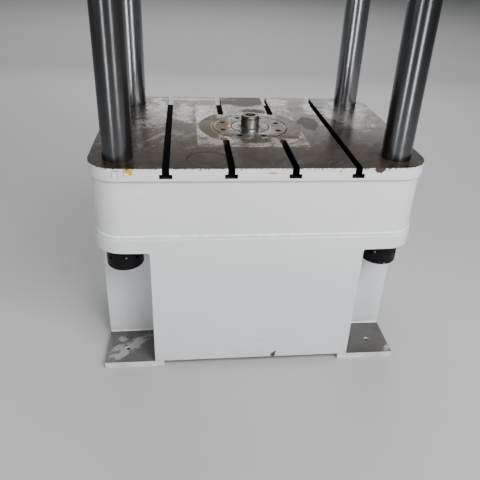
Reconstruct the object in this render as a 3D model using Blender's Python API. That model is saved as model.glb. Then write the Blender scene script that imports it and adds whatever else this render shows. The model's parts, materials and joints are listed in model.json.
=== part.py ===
# Four-column hydraulic press of the 200 t class, as separate named pieces.
#
# The origin is on the floor at the middle of the bed. +X is to the right, +Y to the back and
# +Z up. All lengths are in metres. The slide stands at the top of its stroke and the ejector
# rod stands a little above the table.

import math

import bmesh
import bpy
from mathutils import Matrix, Vector

MM = 0.001

# Fits and facets
GAP = 0.3 * MM
OVERRUN = 12 * MM
MERGE_DISTANCE = 0.001 * MM
CORNER_STEPS = 6
FILLET_STEPS = 4
SLOT_END_STEPS = 8
COLUMN_SIDES = 20
CENTRE_SIDES = 28
SMALL_SIDES = 10
HOLE_SIDES = 6
SHARP_ANGLE = math.radians(35)

# Bed
BED_HALF_WIDTH = 680 * MM
BED_HALF_DEPTH = 500 * MM
CORNER_RADIUS = 125 * MM
WALL_INSET = 9 * MM
TABLE_HEIGHT = 990 * MM
TABLE_THICKNESS = 55 * MM
BED_BOX_HEIGHT = 245 * MM
BED_WALL = 25 * MM
BAND_THICKNESS = 75 * MM

# Legs of the bed
LEG_INSET = 4 * MM
NUT_TO_RETURN_WALL = 35 * MM
NUT_TO_RECESS_WALL = 27.5 * MM
PANEL_THICKNESS = 25 * MM
LEG_WALL = 20 * MM
NOTCH_FILLET = 12 * MM
PIPE_ROOM = 190 * MM
FOOT_THICKNESS = 32 * MM
FOOT_UNDER_PANEL = 40 * MM
FOOT_UNDER_LEG = 60 * MM
FOOT_HOLE_RADIUS = 13 * MM
FOOT_HOLE_FROM_SIDE = 94 * MM
FOOT_HOLE_FROM_FRONT = 96 * MM

# T-slots
SLOT_COUNT = 4
SLOT_PITCH = 250 * MM
SLOT_WIDTH = 28 * MM
SLOT_THROAT_DEPTH = 26 * MM
SLOT_HEAD_WIDTH = 50 * MM
SLOT_HEAD_DEPTH = 18 * MM
SHORT_SLOT_FROM_RING = 10.5 * MM

# Columns and their nuts
COLUMN_RADIUS = 60 * MM
COLUMN_FROM_SIDE = 117.5 * MM
COLUMN_FROM_FRONT = 115 * MM
COLUMN_SHOULDER = 5 * MM
THREAD_STEP = 3 * MM
COLUMN_CHAMFER = 4 * MM
NUT_WALL = 25.5 * MM
NUT_HEIGHT = 107 * MM
NUT_CHAMFER = 4 * MM
COLUMN_END = 10 * MM
SPANNER_HOLE_RADIUS = 8 * MM
SPANNER_HOLE_DEPTH = 13 * MM
SPANNER_HOLE_COUNT = 4

# Ring plate, guide and scraper in the middle of the table
RING_RADIUS = 171 * MM
RING_THICKNESS = 40 * MM
RING_LEDGE = 31 * MM
RING_SCREW_FROM_EDGE = 33 * MM
RING_SCREW_COUNT = 8
RING_SCREW_START = math.radians(20)
RING_SCREW_RADIUS = 13 * MM
RING_SCREW_DEPTH = 17 * MM
GUIDE_FLANGE_WIDTH = 26 * MM
GUIDE_FLANGE_HEIGHT = 28 * MM
GUIDE_WALL = 20 * MM
GUIDE_HEIGHT = 90 * MM
SCRAPER_WIDTH = 8 * MM
SCRAPER_DEPTH = 10 * MM
SCRAPER_PROUD = 1.5 * MM

# Ejector
EJECTOR_ROD_RADIUS = 42 * MM
EJECTOR_ROD_PROUD = 56 * MM
EJECTOR_ROD_CHAMFER = 4 * MM
EJECTOR_RECESS_RADIUS = 24 * MM
EJECTOR_RECESS_DEPTH = 8 * MM
EJECTOR_TAPPED_RADIUS = 12 * MM
EJECTOR_TAPPED_DEPTH = 40 * MM
EJECTOR_PISTON_STEP = 33 * MM
EJECTOR_WALL = 25 * MM
EJECTOR_RISE = 194 * MM
EJECTOR_PISTON_HEIGHT = 70 * MM
EJECTOR_HEAD_HEIGHT = 70 * MM
EJECTOR_FLANGE_WIDTH = 50 * MM
EJECTOR_FLANGE_HEIGHT = 40 * MM
EJECTOR_CAP_HEIGHT = 40 * MM
EJECTOR_SPIGOT = 4 * MM
EJECTOR_END_ROOM = 1.5 * MM
ROD_PASSAGE_ROOM = 18 * MM

# Slide
DAYLIGHT = 1120 * MM
SLIDE_STROKE = 700 * MM
SLIDE_INSET = 5 * MM
SLIDE_FACE_THICKNESS = 70 * MM
SLIDE_BOX_HEIGHT = 340 * MM
SLIDE_TOP_THICKNESS = 50 * MM
SLIDE_WALL = 18 * MM
BUSH_WALL = 18 * MM
BUSH_PROUD = 10 * MM
BUSH_FLANGE_WIDTH = 16 * MM
BUSH_FLANGE_HEIGHT = 18 * MM

# Crown
CROWN_ABOVE_SLIDE = 220 * MM
CROWN_BOTTOM_THICKNESS = 75 * MM
CROWN_BOX_HEIGHT = 400 * MM
CROWN_TOP_THICKNESS = 65 * MM
CROWN_WALL = 25 * MM

# Main cylinder and ram
MAIN_BORE = 160 * MM
MAIN_BARREL_WALL = 50 * MM
MAIN_BARREL_BELOW_CROWN = 90 * MM
MAIN_SHOULDER_WIDTH = 40 * MM
MAIN_SHOULDER_HEIGHT = 45 * MM
MAIN_END_THICKNESS = 80 * MM
MAIN_END_ROOM = 10 * MM
FILL_PORT_RADIUS = 70 * MM
GLAND_LIP = 25 * MM
GLAND_HEIGHT = 50 * MM
GLAND_SPIGOT = 20 * MM
LOCK_NUT_WALL = 55 * MM
LOCK_NUT_HEIGHT = 70 * MM
RAM_STEP = 20 * MM
RAM_FLANGE_WIDTH = 50 * MM
RAM_FLANGE_HEIGHT = 55 * MM
PISTON_HEIGHT = 200 * MM

# Filling valve and tank on the cylinder
VALVE_FLANGE_WIDTH = 30 * MM
VALVE_HEIGHT = 170 * MM
VALVE_SHOULDER = 25 * MM
VALVE_SPIGOT_LAP = 10 * MM
TANK_PAST_BARREL = 120 * MM
TANK_HEIGHT = 420 * MM
TANK_WALL = 8 * MM
TANK_FLOOR = 12 * MM
LID_LAP = 6 * MM
LID_THICKNESS = 8 * MM
BREATHER_NECK_RADIUS = 32 * MM
BREATHER_NECK_HEIGHT = 40 * MM
BREATHER_CAP_LAP = 16 * MM
BREATHER_CAP_HEIGHT = 42 * MM

# Limit switches on the right, and the vane that they sense
RAIL_THICKNESS = 20 * MM
RAIL_HALF_WIDTH = 30 * MM
RAIL_LAP = 45 * MM
SWITCH_DEPTH = 40 * MM
SWITCH_HEIGHT = 70 * MM
SWITCH_PAST_RAIL = 12 * MM
VANE_THICKNESS = 8 * MM
VANE_AIR = 6 * MM
VANE_REACH = 30 * MM
VANE_HEIGHT = 50 * MM
VANE_FOOT = 52 * MM

# Junction box on the left of the crown
BOX_HALF_WIDTH = 130 * MM
BOX_HALF_HEIGHT = 100 * MM
BOX_SHEET = 4 * MM
BOX_LID_THICKNESS = 6 * MM

# Heights, half sizes and radii that follow from the sizes above
TABLE_BOTTOM = TABLE_HEIGHT - TABLE_THICKNESS
BAND_TOP = TABLE_BOTTOM - BED_BOX_HEIGHT
BAND_BOTTOM = BAND_TOP - BAND_THICKNESS
SLIDE_BOTTOM = TABLE_HEIGHT + DAYLIGHT
SLIDE_HEIGHT = SLIDE_FACE_THICKNESS + SLIDE_BOX_HEIGHT + SLIDE_TOP_THICKNESS
SLIDE_TOP = SLIDE_BOTTOM + SLIDE_HEIGHT
SLIDE_HALF_WIDTH = BED_HALF_WIDTH - SLIDE_INSET
SLIDE_HALF_DEPTH = BED_HALF_DEPTH - SLIDE_INSET
CROWN_BOTTOM = SLIDE_TOP + CROWN_ABOVE_SLIDE
CROWN_BOX_BOTTOM = CROWN_BOTTOM + CROWN_BOTTOM_THICKNESS
CROWN_BOX_TOP = CROWN_BOX_BOTTOM + CROWN_BOX_HEIGHT
CROWN_TOP = CROWN_BOX_TOP + CROWN_TOP_THICKNESS
COLUMN_X = BED_HALF_WIDTH - COLUMN_FROM_SIDE
COLUMN_Y = BED_HALF_DEPTH - COLUMN_FROM_FRONT
NECK_RADIUS = COLUMN_RADIUS - COLUMN_SHOULDER
THREAD_RADIUS = NECK_RADIUS - THREAD_STEP
NUT_RADIUS = THREAD_RADIUS + NUT_WALL
COLUMN_BOTTOM = BAND_BOTTOM - NUT_HEIGHT - COLUMN_END
COLUMN_TOP = CROWN_TOP + NUT_HEIGHT + COLUMN_END
LEG_HALF_WIDTH = BED_HALF_WIDTH - LEG_INSET
LEG_HALF_DEPTH = COLUMN_Y - NUT_RADIUS - NUT_TO_RECESS_WALL
FRONT_HALF_WIDTH = COLUMN_X - NUT_RADIUS - NUT_TO_RETURN_WALL
FOOT_INNER_X = FRONT_HALF_WIDTH - FOOT_UNDER_PANEL
FOOT_INNER_Y = LEG_HALF_DEPTH - FOOT_UNDER_LEG
RING_BOTTOM = TABLE_HEIGHT - RING_THICKNESS
RING_SCREW_CIRCLE = RING_RADIUS - RING_SCREW_FROM_EDGE
SCRAPER_RADIUS = EJECTOR_ROD_RADIUS + SCRAPER_WIDTH
GUIDE_RADIUS = EJECTOR_ROD_RADIUS + GUIDE_WALL
GUIDE_FLANGE_RADIUS = GUIDE_RADIUS + GUIDE_FLANGE_WIDTH
BUSH_RADIUS = COLUMN_RADIUS + BUSH_WALL
BUSH_FLANGE_RADIUS = BUSH_RADIUS + BUSH_FLANGE_WIDTH
MAIN_BARREL_RADIUS = MAIN_BORE + MAIN_BARREL_WALL
MAIN_SHOULDER_RADIUS = MAIN_BARREL_RADIUS + MAIN_SHOULDER_WIDTH
GLAND_RADIUS = MAIN_BARREL_RADIUS + GLAND_LIP
LOCK_NUT_RADIUS = MAIN_BARREL_RADIUS + LOCK_NUT_WALL
RAM_RADIUS = MAIN_BORE - RAM_STEP
RAM_FLANGE_RADIUS = RAM_RADIUS + RAM_FLANGE_WIDTH
VALVE_SPIGOT_RADIUS = FILL_PORT_RADIUS + VALVE_SPIGOT_LAP
VALVE_RADIUS = VALVE_SPIGOT_RADIUS + VALVE_FLANGE_WIDTH
TANK_RADIUS = MAIN_BARREL_RADIUS + TANK_PAST_BARREL
BREATHER_CAP_RADIUS = BREATHER_NECK_RADIUS + BREATHER_CAP_LAP
MAIN_BARREL_BOTTOM = CROWN_BOTTOM - MAIN_BARREL_BELOW_CROWN
PISTON_BOTTOM = MAIN_BARREL_BOTTOM + GLAND_SPIGOT + MAIN_END_ROOM + SLIDE_STROKE
PISTON_TOP = PISTON_BOTTOM + PISTON_HEIGHT
MAIN_BARREL_TOP = PISTON_TOP + MAIN_END_ROOM + MAIN_END_THICKNESS
TANK_BOTTOM = MAIN_BARREL_TOP + GAP
EJECTOR_BORE = EJECTOR_ROD_RADIUS + EJECTOR_PISTON_STEP
EJECTOR_BARREL_RADIUS = EJECTOR_BORE + EJECTOR_WALL
EJECTOR_FLANGE_RADIUS = EJECTOR_BARREL_RADIUS + EJECTOR_FLANGE_WIDTH
EJECTOR_PASSAGE = EJECTOR_ROD_RADIUS + ROD_PASSAGE_ROOM
EJECTOR_DROP = EJECTOR_ROD_PROUD
EJECTOR_HEAD_BOTTOM = BAND_BOTTOM - EJECTOR_HEAD_HEIGHT
EJECTOR_PISTON_TOP = EJECTOR_HEAD_BOTTOM - EJECTOR_END_ROOM - EJECTOR_RISE
EJECTOR_PISTON_BOTTOM = EJECTOR_PISTON_TOP - EJECTOR_PISTON_HEIGHT
EJECTOR_BARREL_BOTTOM = EJECTOR_PISTON_BOTTOM - EJECTOR_DROP - EJECTOR_END_ROOM - EJECTOR_SPIGOT
RAIL_INNER_X = BED_HALF_WIDTH + GAP
RAIL_OUTER_X = RAIL_INNER_X + RAIL_THICKNESS
SWITCH_FACE_Y = RAIL_HALF_WIDTH + SWITCH_PAST_RAIL
VANE_Y = SWITCH_FACE_Y + VANE_AIR

SIDES = {"left": -1, "right": 1}
ENDS = {"front": -1, "back": 1}

# Colour, roughness and metallic value of each finish
FINISHES = {
    "paint": ((0.78, 0.79, 0.78), 0.42, 0.0),
    "table steel": ((0.38, 0.34, 0.31), 0.34, 0.9),
    "foot steel": ((0.34, 0.32, 0.30), 0.55, 0.6),
    "ground steel": ((0.52, 0.53, 0.55), 0.18, 1.0),
    "black steel": ((0.03, 0.03, 0.032), 0.4, 0.6),
    "turned steel": ((0.46, 0.45, 0.43), 0.3, 1.0),
    "bronze": ((0.55, 0.38, 0.18), 0.35, 1.0),
    "rubber": ((0.02, 0.02, 0.02), 0.6, 0.0),
    "plastic": ((0.08, 0.09, 0.10), 0.45, 0.0),
}


# Outlines

def arc(centre, radius, start, end, steps):
    """Points on a round stretch, both ends included."""
    angles = [start + (end - start) * step / steps for step in range(steps + 1)]
    return [
        (centre[0] + radius * math.cos(angle), centre[1] + radius * math.sin(angle))
        for angle in angles
    ]


def rounded_rectangle(half_width, half_depth, radius):
    """A rectangle with round corners about the origin, counterclockwise."""
    quarter = math.pi / 2
    turns = ((1, 1), (-1, 1), (-1, -1), (1, -1))
    outline = []
    for turn, (side, end) in enumerate(turns):
        centre = (side * (half_width - radius), end * (half_depth - radius))
        outline += arc(centre, radius, turn * quarter, (turn + 1) * quarter, CORNER_STEPS)
    return outline


def rectangle(across, along):
    """A rectangle between two low and high pairs, counterclockwise."""
    return [
        (across[0], along[0]), (across[1], along[0]), (across[1], along[1]), (across[0], along[1]),
    ]


def bed_outline(inset):
    """The bed's plan outline, moved in by an inset."""
    return rounded_rectangle(
        BED_HALF_WIDTH - inset, BED_HALF_DEPTH - inset, CORNER_RADIUS - inset)


def outward(sign, inner, outer):
    """A low and high pair that runs from inner to outer on the side that sign names."""
    return sorted((sign * inner, sign * outer))


# Meshes

def place_along(axis, across, along, height):
    """Turn two outline values and a distance along an axis into a point."""
    return {
        "X": (height, across, along),
        "Y": (across, height, along),
        "Z": (across, along, height),
    }[axis]


def add_prism(bm, outline, low, high, axis="Z"):
    """Push an outline from low to high along an axis."""
    base = [bm.verts.new(place_along(axis, a, b, low)) for a, b in outline]
    far = [bm.verts.new(place_along(axis, a, b, high)) for a, b in outline]
    bm.faces.new(base)
    bm.faces.new(far)
    loops = [bm.edges.get((ring[i - 1], ring[i])) for ring in (base, far) for i in range(len(ring))]
    bmesh.ops.bridge_loops(bm, edges=loops)


def add_wall(bm, outer, inner, low, high):
    """A standing wall between two outlines with as many points each."""
    rings = []
    for outline, height in ((outer, low), (outer, high), (inner, high), (inner, low)):
        rings.append([bm.verts.new((x, y, height)) for x, y in outline])
    for near, far in zip(rings, rings[1:] + rings[:1]):
        for i in range(len(near)):
            bm.faces.new((near[i - 1], near[i], far[i], far[i - 1]))


def add_turned(bm, profile, sides, centre=(0, 0)):
    """Spin a profile of radius and height pairs about an upright axis.

    A profile that begins and ends on the axis gives a solid piece, any other one a ring.
    """
    start = [bm.verts.new((centre[0] + radius, centre[1], height)) for radius, height in profile]
    edges = [bm.edges.new(pair) for pair in zip(start, start[1:])]
    if profile[0][0] > 0:
        edges.append(bm.edges.new((start[-1], start[0])))
    bmesh.ops.spin(
        bm, geom=start + edges, cent=(*centre, 0), axis=(0, 0, 1),
        angle=math.tau, steps=sides, use_merge=True)
    bmesh.ops.remove_doubles(bm, verts=bm.verts, dist=MERGE_DISTANCE)


def make_mesh(name, bm, smooth=False):
    """Close a bmesh into a mesh with its faces pointing out."""
    bmesh.ops.recalc_face_normals(bm, faces=bm.faces)
    mesh = bpy.data.meshes.new(name)
    bm.to_mesh(mesh)
    bm.free()
    if smooth:
        mesh.shade_smooth()
        mesh.set_sharp_from_angle(angle=SHARP_ANGLE)
    return mesh


def prism_mesh(name, outline, low, high, axis="Z"):
    bm = bmesh.new()
    add_prism(bm, outline, low, high, axis)
    return make_mesh(name, bm)


def wall_mesh(name, outer, inner, low, high):
    bm = bmesh.new()
    add_wall(bm, outer, inner, low, high)
    return make_mesh(name, bm)


def turned_mesh(name, profile, sides=CENTRE_SIDES):
    bm = bmesh.new()
    add_turned(bm, profile, sides)
    return make_mesh(name, bm, smooth=True)


# Objects

def make_material(name, finish):
    colour, roughness, metallic = FINISHES[finish]
    material = bpy.data.materials.new(name)
    material.use_nodes = True
    shader = material.node_tree.nodes["Principled BSDF"]
    shader.inputs["Base Color"].default_value = (*colour, 1)
    shader.inputs["Roughness"].default_value = roughness
    shader.inputs["Metallic"].default_value = metallic
    return material


def add_piece(name, mesh, finish, place=(0, 0, 0), parent=None):
    """Put a mesh in the scene as a named piece with its own material."""
    piece = bpy.data.objects.new(name, mesh)
    piece.location = place
    piece.parent = parent
    bpy.context.collection.objects.link(piece)
    if not mesh.materials:
        mesh.materials.append(None)
    slot = piece.material_slots[0]
    slot.link = "OBJECT"
    slot.material = make_material(f"{name}_finish", finish)
    return piece


def add_cutter(name, bm, place=(0, 0, 0), parent=None):
    """Put a hidden guide in the scene that other pieces are cut with."""
    cutter = bpy.data.objects.new(name, make_mesh(name, bm))
    cutter.location = place
    cutter.parent = parent
    cutter.hide_render = True
    cutter.display_type = "WIRE"
    bpy.context.collection.objects.link(cutter)
    return cutter


def cut(piece, *cutters):
    """Take each cutter out of a piece."""
    for cutter in cutters:
        modifier = piece.modifiers.new(cutter.name, "BOOLEAN")
        modifier.operation = "DIFFERENCE"
        modifier.solver = "EXACT"
        modifier.object = cutter


def add_empty(name, place):
    empty = bpy.data.objects.new(name, None)
    empty.location = place
    bpy.context.collection.objects.link(empty)
    return empty


def corners():
    """Each corner's name with its signs in X and Y."""
    return [
        (f"{end_name}_{side_name}", side, end)
        for end_name, end in ENDS.items() for side_name, side in SIDES.items()
    ]


def drills(name, radius, sides, low, high, centres, parent=None):
    """Upright drills of one radius at several centres."""
    bm = bmesh.new()
    for centre in centres:
        add_turned(bm, [(0, low), (radius, low), (radius, high), (0, high)], sides, centre)
    return add_cutter(name, bm, parent=parent)


def column_centres():
    return [(side * COLUMN_X, end * COLUMN_Y) for _, side, end in corners()]


# T-slots

def slot_outline(x, half_width, inner_y, outer_y):
    """Plan outline of a slot that ends round at inner_y and runs out past outer_y."""
    end = math.copysign(1, outer_y - inner_y)
    centre = (x, inner_y + end * half_width)
    mouth = outer_y + end * OVERRUN
    bend = arc(centre, half_width, 0, -end * math.pi, SLOT_END_STEPS)
    return [(x + half_width, mouth), *bend, (x - half_width, mouth)]


def slot_plans(half_width, half_depth, stop_at_ring):
    """Plan outlines of all slots at one level; those that would meet the ring stop short of it."""
    plans = []
    for index in range(SLOT_COUNT):
        x = (index - (SLOT_COUNT - 1) / 2) * SLOT_PITCH
        if stop_at_ring and abs(x) < RING_RADIUS:
            round_end = RING_RADIUS + SHORT_SLOT_FROM_RING + SLOT_WIDTH / 2 - half_width
            for end in ENDS.values():
                plans.append(slot_outline(x, half_width, end * round_end, end * half_depth))
        else:
            reach = half_depth + OVERRUN
            plans.append(rectangle((x - half_width, x + half_width), (-reach, reach)))
    return plans


def slot_cutters(name, face, inward, half_depth, stop_at_ring, parent=None):
    """Cutters for the slots' throats and heads, from a face towards the inside of its plate."""
    head_start = face + inward * SLOT_THROAT_DEPTH
    head_end = head_start + inward * SLOT_HEAD_DEPTH
    levels = {
        "throats": (SLOT_WIDTH / 2, face - inward * OVERRUN, (head_start + head_end) / 2),
        "heads": (SLOT_HEAD_WIDTH / 2, head_start, head_end),
    }
    cutters = []
    for level, (half_width, start, end) in levels.items():
        bm = bmesh.new()
        for plan in slot_plans(half_width, half_depth, stop_at_ring):
            add_prism(bm, plan, start, end)
        cutters.append(add_cutter(f"{name}_{level}", bm, parent=parent))
    return cutters


# Bed

def build_table(column_holes):
    plate = add_piece(
        "table_plate", prism_mesh("table_plate", bed_outline(0), 0, TABLE_THICKNESS),
        "table steel", (0, 0, TABLE_BOTTOM))
    middle = [(0, 0)]
    seat = drills(
        "ring_seat", RING_RADIUS + GAP, CENTRE_SIDES,
        RING_BOTTOM - GAP, TABLE_HEIGHT + OVERRUN, middle)
    passage = drills(
        "guide_passage", RING_RADIUS - RING_LEDGE, CENTRE_SIDES,
        TABLE_BOTTOM - OVERRUN, TABLE_HEIGHT, middle)
    slots = slot_cutters("table_slot", TABLE_HEIGHT, -1, BED_HALF_DEPTH, stop_at_ring=True)
    cut(plate, column_holes, seat, passage, *slots)


def build_box_wall(name, inset, thickness, low, high, parent=None):
    """The standing wall of a box between two plates."""
    mesh = wall_mesh(
        name, bed_outline(inset), bed_outline(inset + thickness), low + GAP, high - GAP)
    add_piece(name, mesh, "paint", parent=parent)


def build_bed_box(column_holes):
    build_box_wall("bed_wall", WALL_INSET, BED_WALL, BAND_TOP, TABLE_BOTTOM)
    band = add_piece(
        "lower_plate", prism_mesh("lower_plate", bed_outline(0), 0, BAND_THICKNESS),
        "paint", (0, 0, BAND_BOTTOM))
    passage = drills(
        "rod_passage", EJECTOR_PASSAGE, CENTRE_SIDES,
        BAND_BOTTOM - OVERRUN, BAND_TOP + OVERRUN, [(0, 0)])
    cut(band, column_holes, passage)


def panel_outline(low, high):
    """A panel whose upper corners flare out in a round fillet below the band."""
    flare = high - NOTCH_FILLET
    right = arc((FRONT_HALF_WIDTH + NOTCH_FILLET, flare), NOTCH_FILLET,
                math.pi, math.pi / 2, FILLET_STEPS)
    left = [(-x, z) for x, z in reversed(right)]
    return [(-FRONT_HALF_WIDTH, low), (FRONT_HALF_WIDTH, low), *right, *left]


def build_legs():
    low = FOOT_THICKNESS + GAP
    high = BAND_BOTTOM - GAP
    bottoms = {"front": low, "back": low + PIPE_ROOM}
    for end_name, end in ENDS.items():
        y_low, y_high = outward(end, BED_HALF_DEPTH - PANEL_THICKNESS, BED_HALF_DEPTH)
        name = f"{end_name}_panel"
        outline = panel_outline(bottoms[end_name], high)
        add_piece(name, prism_mesh(name, outline, y_low, y_high, "Y"), "paint")
    for side_name, side in SIDES.items():
        name = f"{side_name}_side_panel"
        depth = LEG_HALF_DEPTH - LEG_WALL - GAP
        outline = rectangle(outward(side, LEG_HALF_WIDTH - LEG_WALL, LEG_HALF_WIDTH), (-depth, depth))
        add_piece(name, prism_mesh(name, outline, low, high), "paint")
    for corner, side, end in corners():
        across = outward(side, FRONT_HALF_WIDTH + GAP, LEG_HALF_WIDTH)
        along = outward(end, LEG_HALF_DEPTH - LEG_WALL, LEG_HALF_DEPTH)
        name = f"recess_wall_{corner}"
        add_piece(name, prism_mesh(name, rectangle(across, along), low, high), "paint")
        across = outward(side, FRONT_HALF_WIDTH - LEG_WALL, FRONT_HALF_WIDTH)
        along = outward(end, LEG_HALF_DEPTH - LEG_WALL, BED_HALF_DEPTH - PANEL_THICKNESS - GAP)
        name = f"return_wall_{corner}"
        add_piece(name, prism_mesh(name, rectangle(across, along), low, high), "paint")


def build_feet():
    for corner, side, end in corners():
        name = f"foot_plate_{corner}"
        outline = rectangle(
            outward(side, FOOT_INNER_X, LEG_HALF_WIDTH),
            outward(end, FOOT_INNER_Y, BED_HALF_DEPTH))
        foot = add_piece(name, prism_mesh(name, outline, 0, FOOT_THICKNESS), "foot steel")
        hole = (
            side * (LEG_HALF_WIDTH - FOOT_HOLE_FROM_SIDE),
            end * (BED_HALF_DEPTH - FOOT_HOLE_FROM_FRONT))
        cut(foot, drills(
            f"bolt_hole_{corner}", FOOT_HOLE_RADIUS, SMALL_SIDES,
            -OVERRUN, FOOT_THICKNESS + OVERRUN, [hole]))


# Columns

def column_profile():
    """A column from its lower thread to its upper one, with a shoulder on each beam."""
    end_radius = THREAD_RADIUS - COLUMN_CHAMFER
    return [
        (0, COLUMN_BOTTOM),
        (end_radius, COLUMN_BOTTOM),
        (THREAD_RADIUS, COLUMN_BOTTOM + COLUMN_CHAMFER),
        (THREAD_RADIUS, BAND_BOTTOM),
        (NECK_RADIUS, BAND_BOTTOM),
        (NECK_RADIUS, TABLE_HEIGHT + GAP),
        (COLUMN_RADIUS, TABLE_HEIGHT + GAP),
        (COLUMN_RADIUS, CROWN_BOTTOM - GAP),
        (NECK_RADIUS, CROWN_BOTTOM - GAP),
        (NECK_RADIUS, CROWN_TOP),
        (THREAD_RADIUS, CROWN_TOP),
        (THREAD_RADIUS, COLUMN_TOP - COLUMN_CHAMFER),
        (end_radius, COLUMN_TOP),
        (0, COLUMN_TOP),
    ]


def nut_profile(bore, radius, height):
    """A round nut with both outer edges chamfered."""
    return [
        (bore, 0), (radius - NUT_CHAMFER, 0), (radius, NUT_CHAMFER),
        (radius, height - NUT_CHAMFER), (radius - NUT_CHAMFER, height), (bore, height),
    ]


def spanner_holes(name, radius, middle_z, centres):
    """Blind holes around the rims of round nuts, for a pin spanner."""
    bm = bmesh.new()
    length = SPANNER_HOLE_DEPTH + OVERRUN
    reach = radius - SPANNER_HOLE_DEPTH + length / 2
    for x, y in centres:
        for index in range(SPANNER_HOLE_COUNT):
            turn = Matrix.Rotation(math.tau * (index + 1 / 2) / SPANNER_HOLE_COUNT, 4, "Z")
            lay = Matrix.Rotation(math.pi / 2, 4, "Y")
            middle = Vector((x, y, middle_z)) + turn @ Vector((reach, 0, 0))
            bmesh.ops.create_cone(
                bm, cap_ends=True, segments=HOLE_SIDES,
                radius1=SPANNER_HOLE_RADIUS, radius2=SPANNER_HOLE_RADIUS, depth=length,
                matrix=Matrix.Translation(middle) @ turn @ lay)
    return add_cutter(name, bm)


def build_columns():
    column_mesh = turned_mesh("column", column_profile(), COLUMN_SIDES)
    nut_mesh = turned_mesh(
        "column_nut", nut_profile(THREAD_RADIUS + GAP, NUT_RADIUS, NUT_HEIGHT - GAP), COLUMN_SIDES)
    levels = {"lower": BAND_BOTTOM - NUT_HEIGHT, "upper": CROWN_TOP + GAP}
    holes = {
        level: spanner_holes(
            f"{level}_spanner_holes", NUT_RADIUS, base + NUT_HEIGHT / 2, column_centres())
        for level, base in levels.items()
    }
    for corner, side, end in corners():
        place = (side * COLUMN_X, end * COLUMN_Y)
        add_piece(f"column_{corner}", column_mesh, "ground steel", (*place, 0))
        for level, base in levels.items():
            nut = add_piece(f"{level}_nut_{corner}", nut_mesh, "black steel", (*place, base))
            cut(nut, holes[level])


# Middle of the table

def build_ring():
    profile = [
        (GUIDE_RADIUS + GAP, RING_BOTTOM),
        (RING_RADIUS, RING_BOTTOM),
        (RING_RADIUS, TABLE_HEIGHT),
        (GUIDE_FLANGE_RADIUS + GAP, TABLE_HEIGHT),
        (GUIDE_FLANGE_RADIUS + GAP, TABLE_HEIGHT - GUIDE_FLANGE_HEIGHT),
        (GUIDE_RADIUS + GAP, TABLE_HEIGHT - GUIDE_FLANGE_HEIGHT),
    ]
    ring = add_piece("ring_plate", turned_mesh("ring_plate", profile), "table steel")
    step = math.tau / RING_SCREW_COUNT
    places = [
        (RING_SCREW_CIRCLE * math.cos(RING_SCREW_START + step * index),
         RING_SCREW_CIRCLE * math.sin(RING_SCREW_START + step * index))
        for index in range(RING_SCREW_COUNT)
    ]
    cut(ring, drills(
        "screw_pockets", RING_SCREW_RADIUS, SMALL_SIDES,
        TABLE_HEIGHT - RING_SCREW_DEPTH, TABLE_HEIGHT + OVERRUN, places))


def build_guide():
    bore = EJECTOR_ROD_RADIUS + GAP
    flange_bottom = TABLE_HEIGHT - GUIDE_FLANGE_HEIGHT + GAP
    pocket = TABLE_HEIGHT - SCRAPER_DEPTH
    profile = [
        (bore, TABLE_HEIGHT - GUIDE_HEIGHT),
        (GUIDE_RADIUS, TABLE_HEIGHT - GUIDE_HEIGHT),
        (GUIDE_RADIUS, flange_bottom),
        (GUIDE_FLANGE_RADIUS, flange_bottom),
        (GUIDE_FLANGE_RADIUS, TABLE_HEIGHT),
        (SCRAPER_RADIUS + GAP, TABLE_HEIGHT),
        (SCRAPER_RADIUS + GAP, pocket),
        (bore, pocket),
    ]
    add_piece("guide_ring", turned_mesh("guide_ring", profile), "table steel")
    profile = [
        (bore, pocket + GAP),
        (SCRAPER_RADIUS, pocket + GAP),
        (SCRAPER_RADIUS, TABLE_HEIGHT),
        (bore, TABLE_HEIGHT + SCRAPER_PROUD),
    ]
    add_piece("rod_scraper", turned_mesh("rod_scraper", profile), "rubber")


# Ejector

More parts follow.
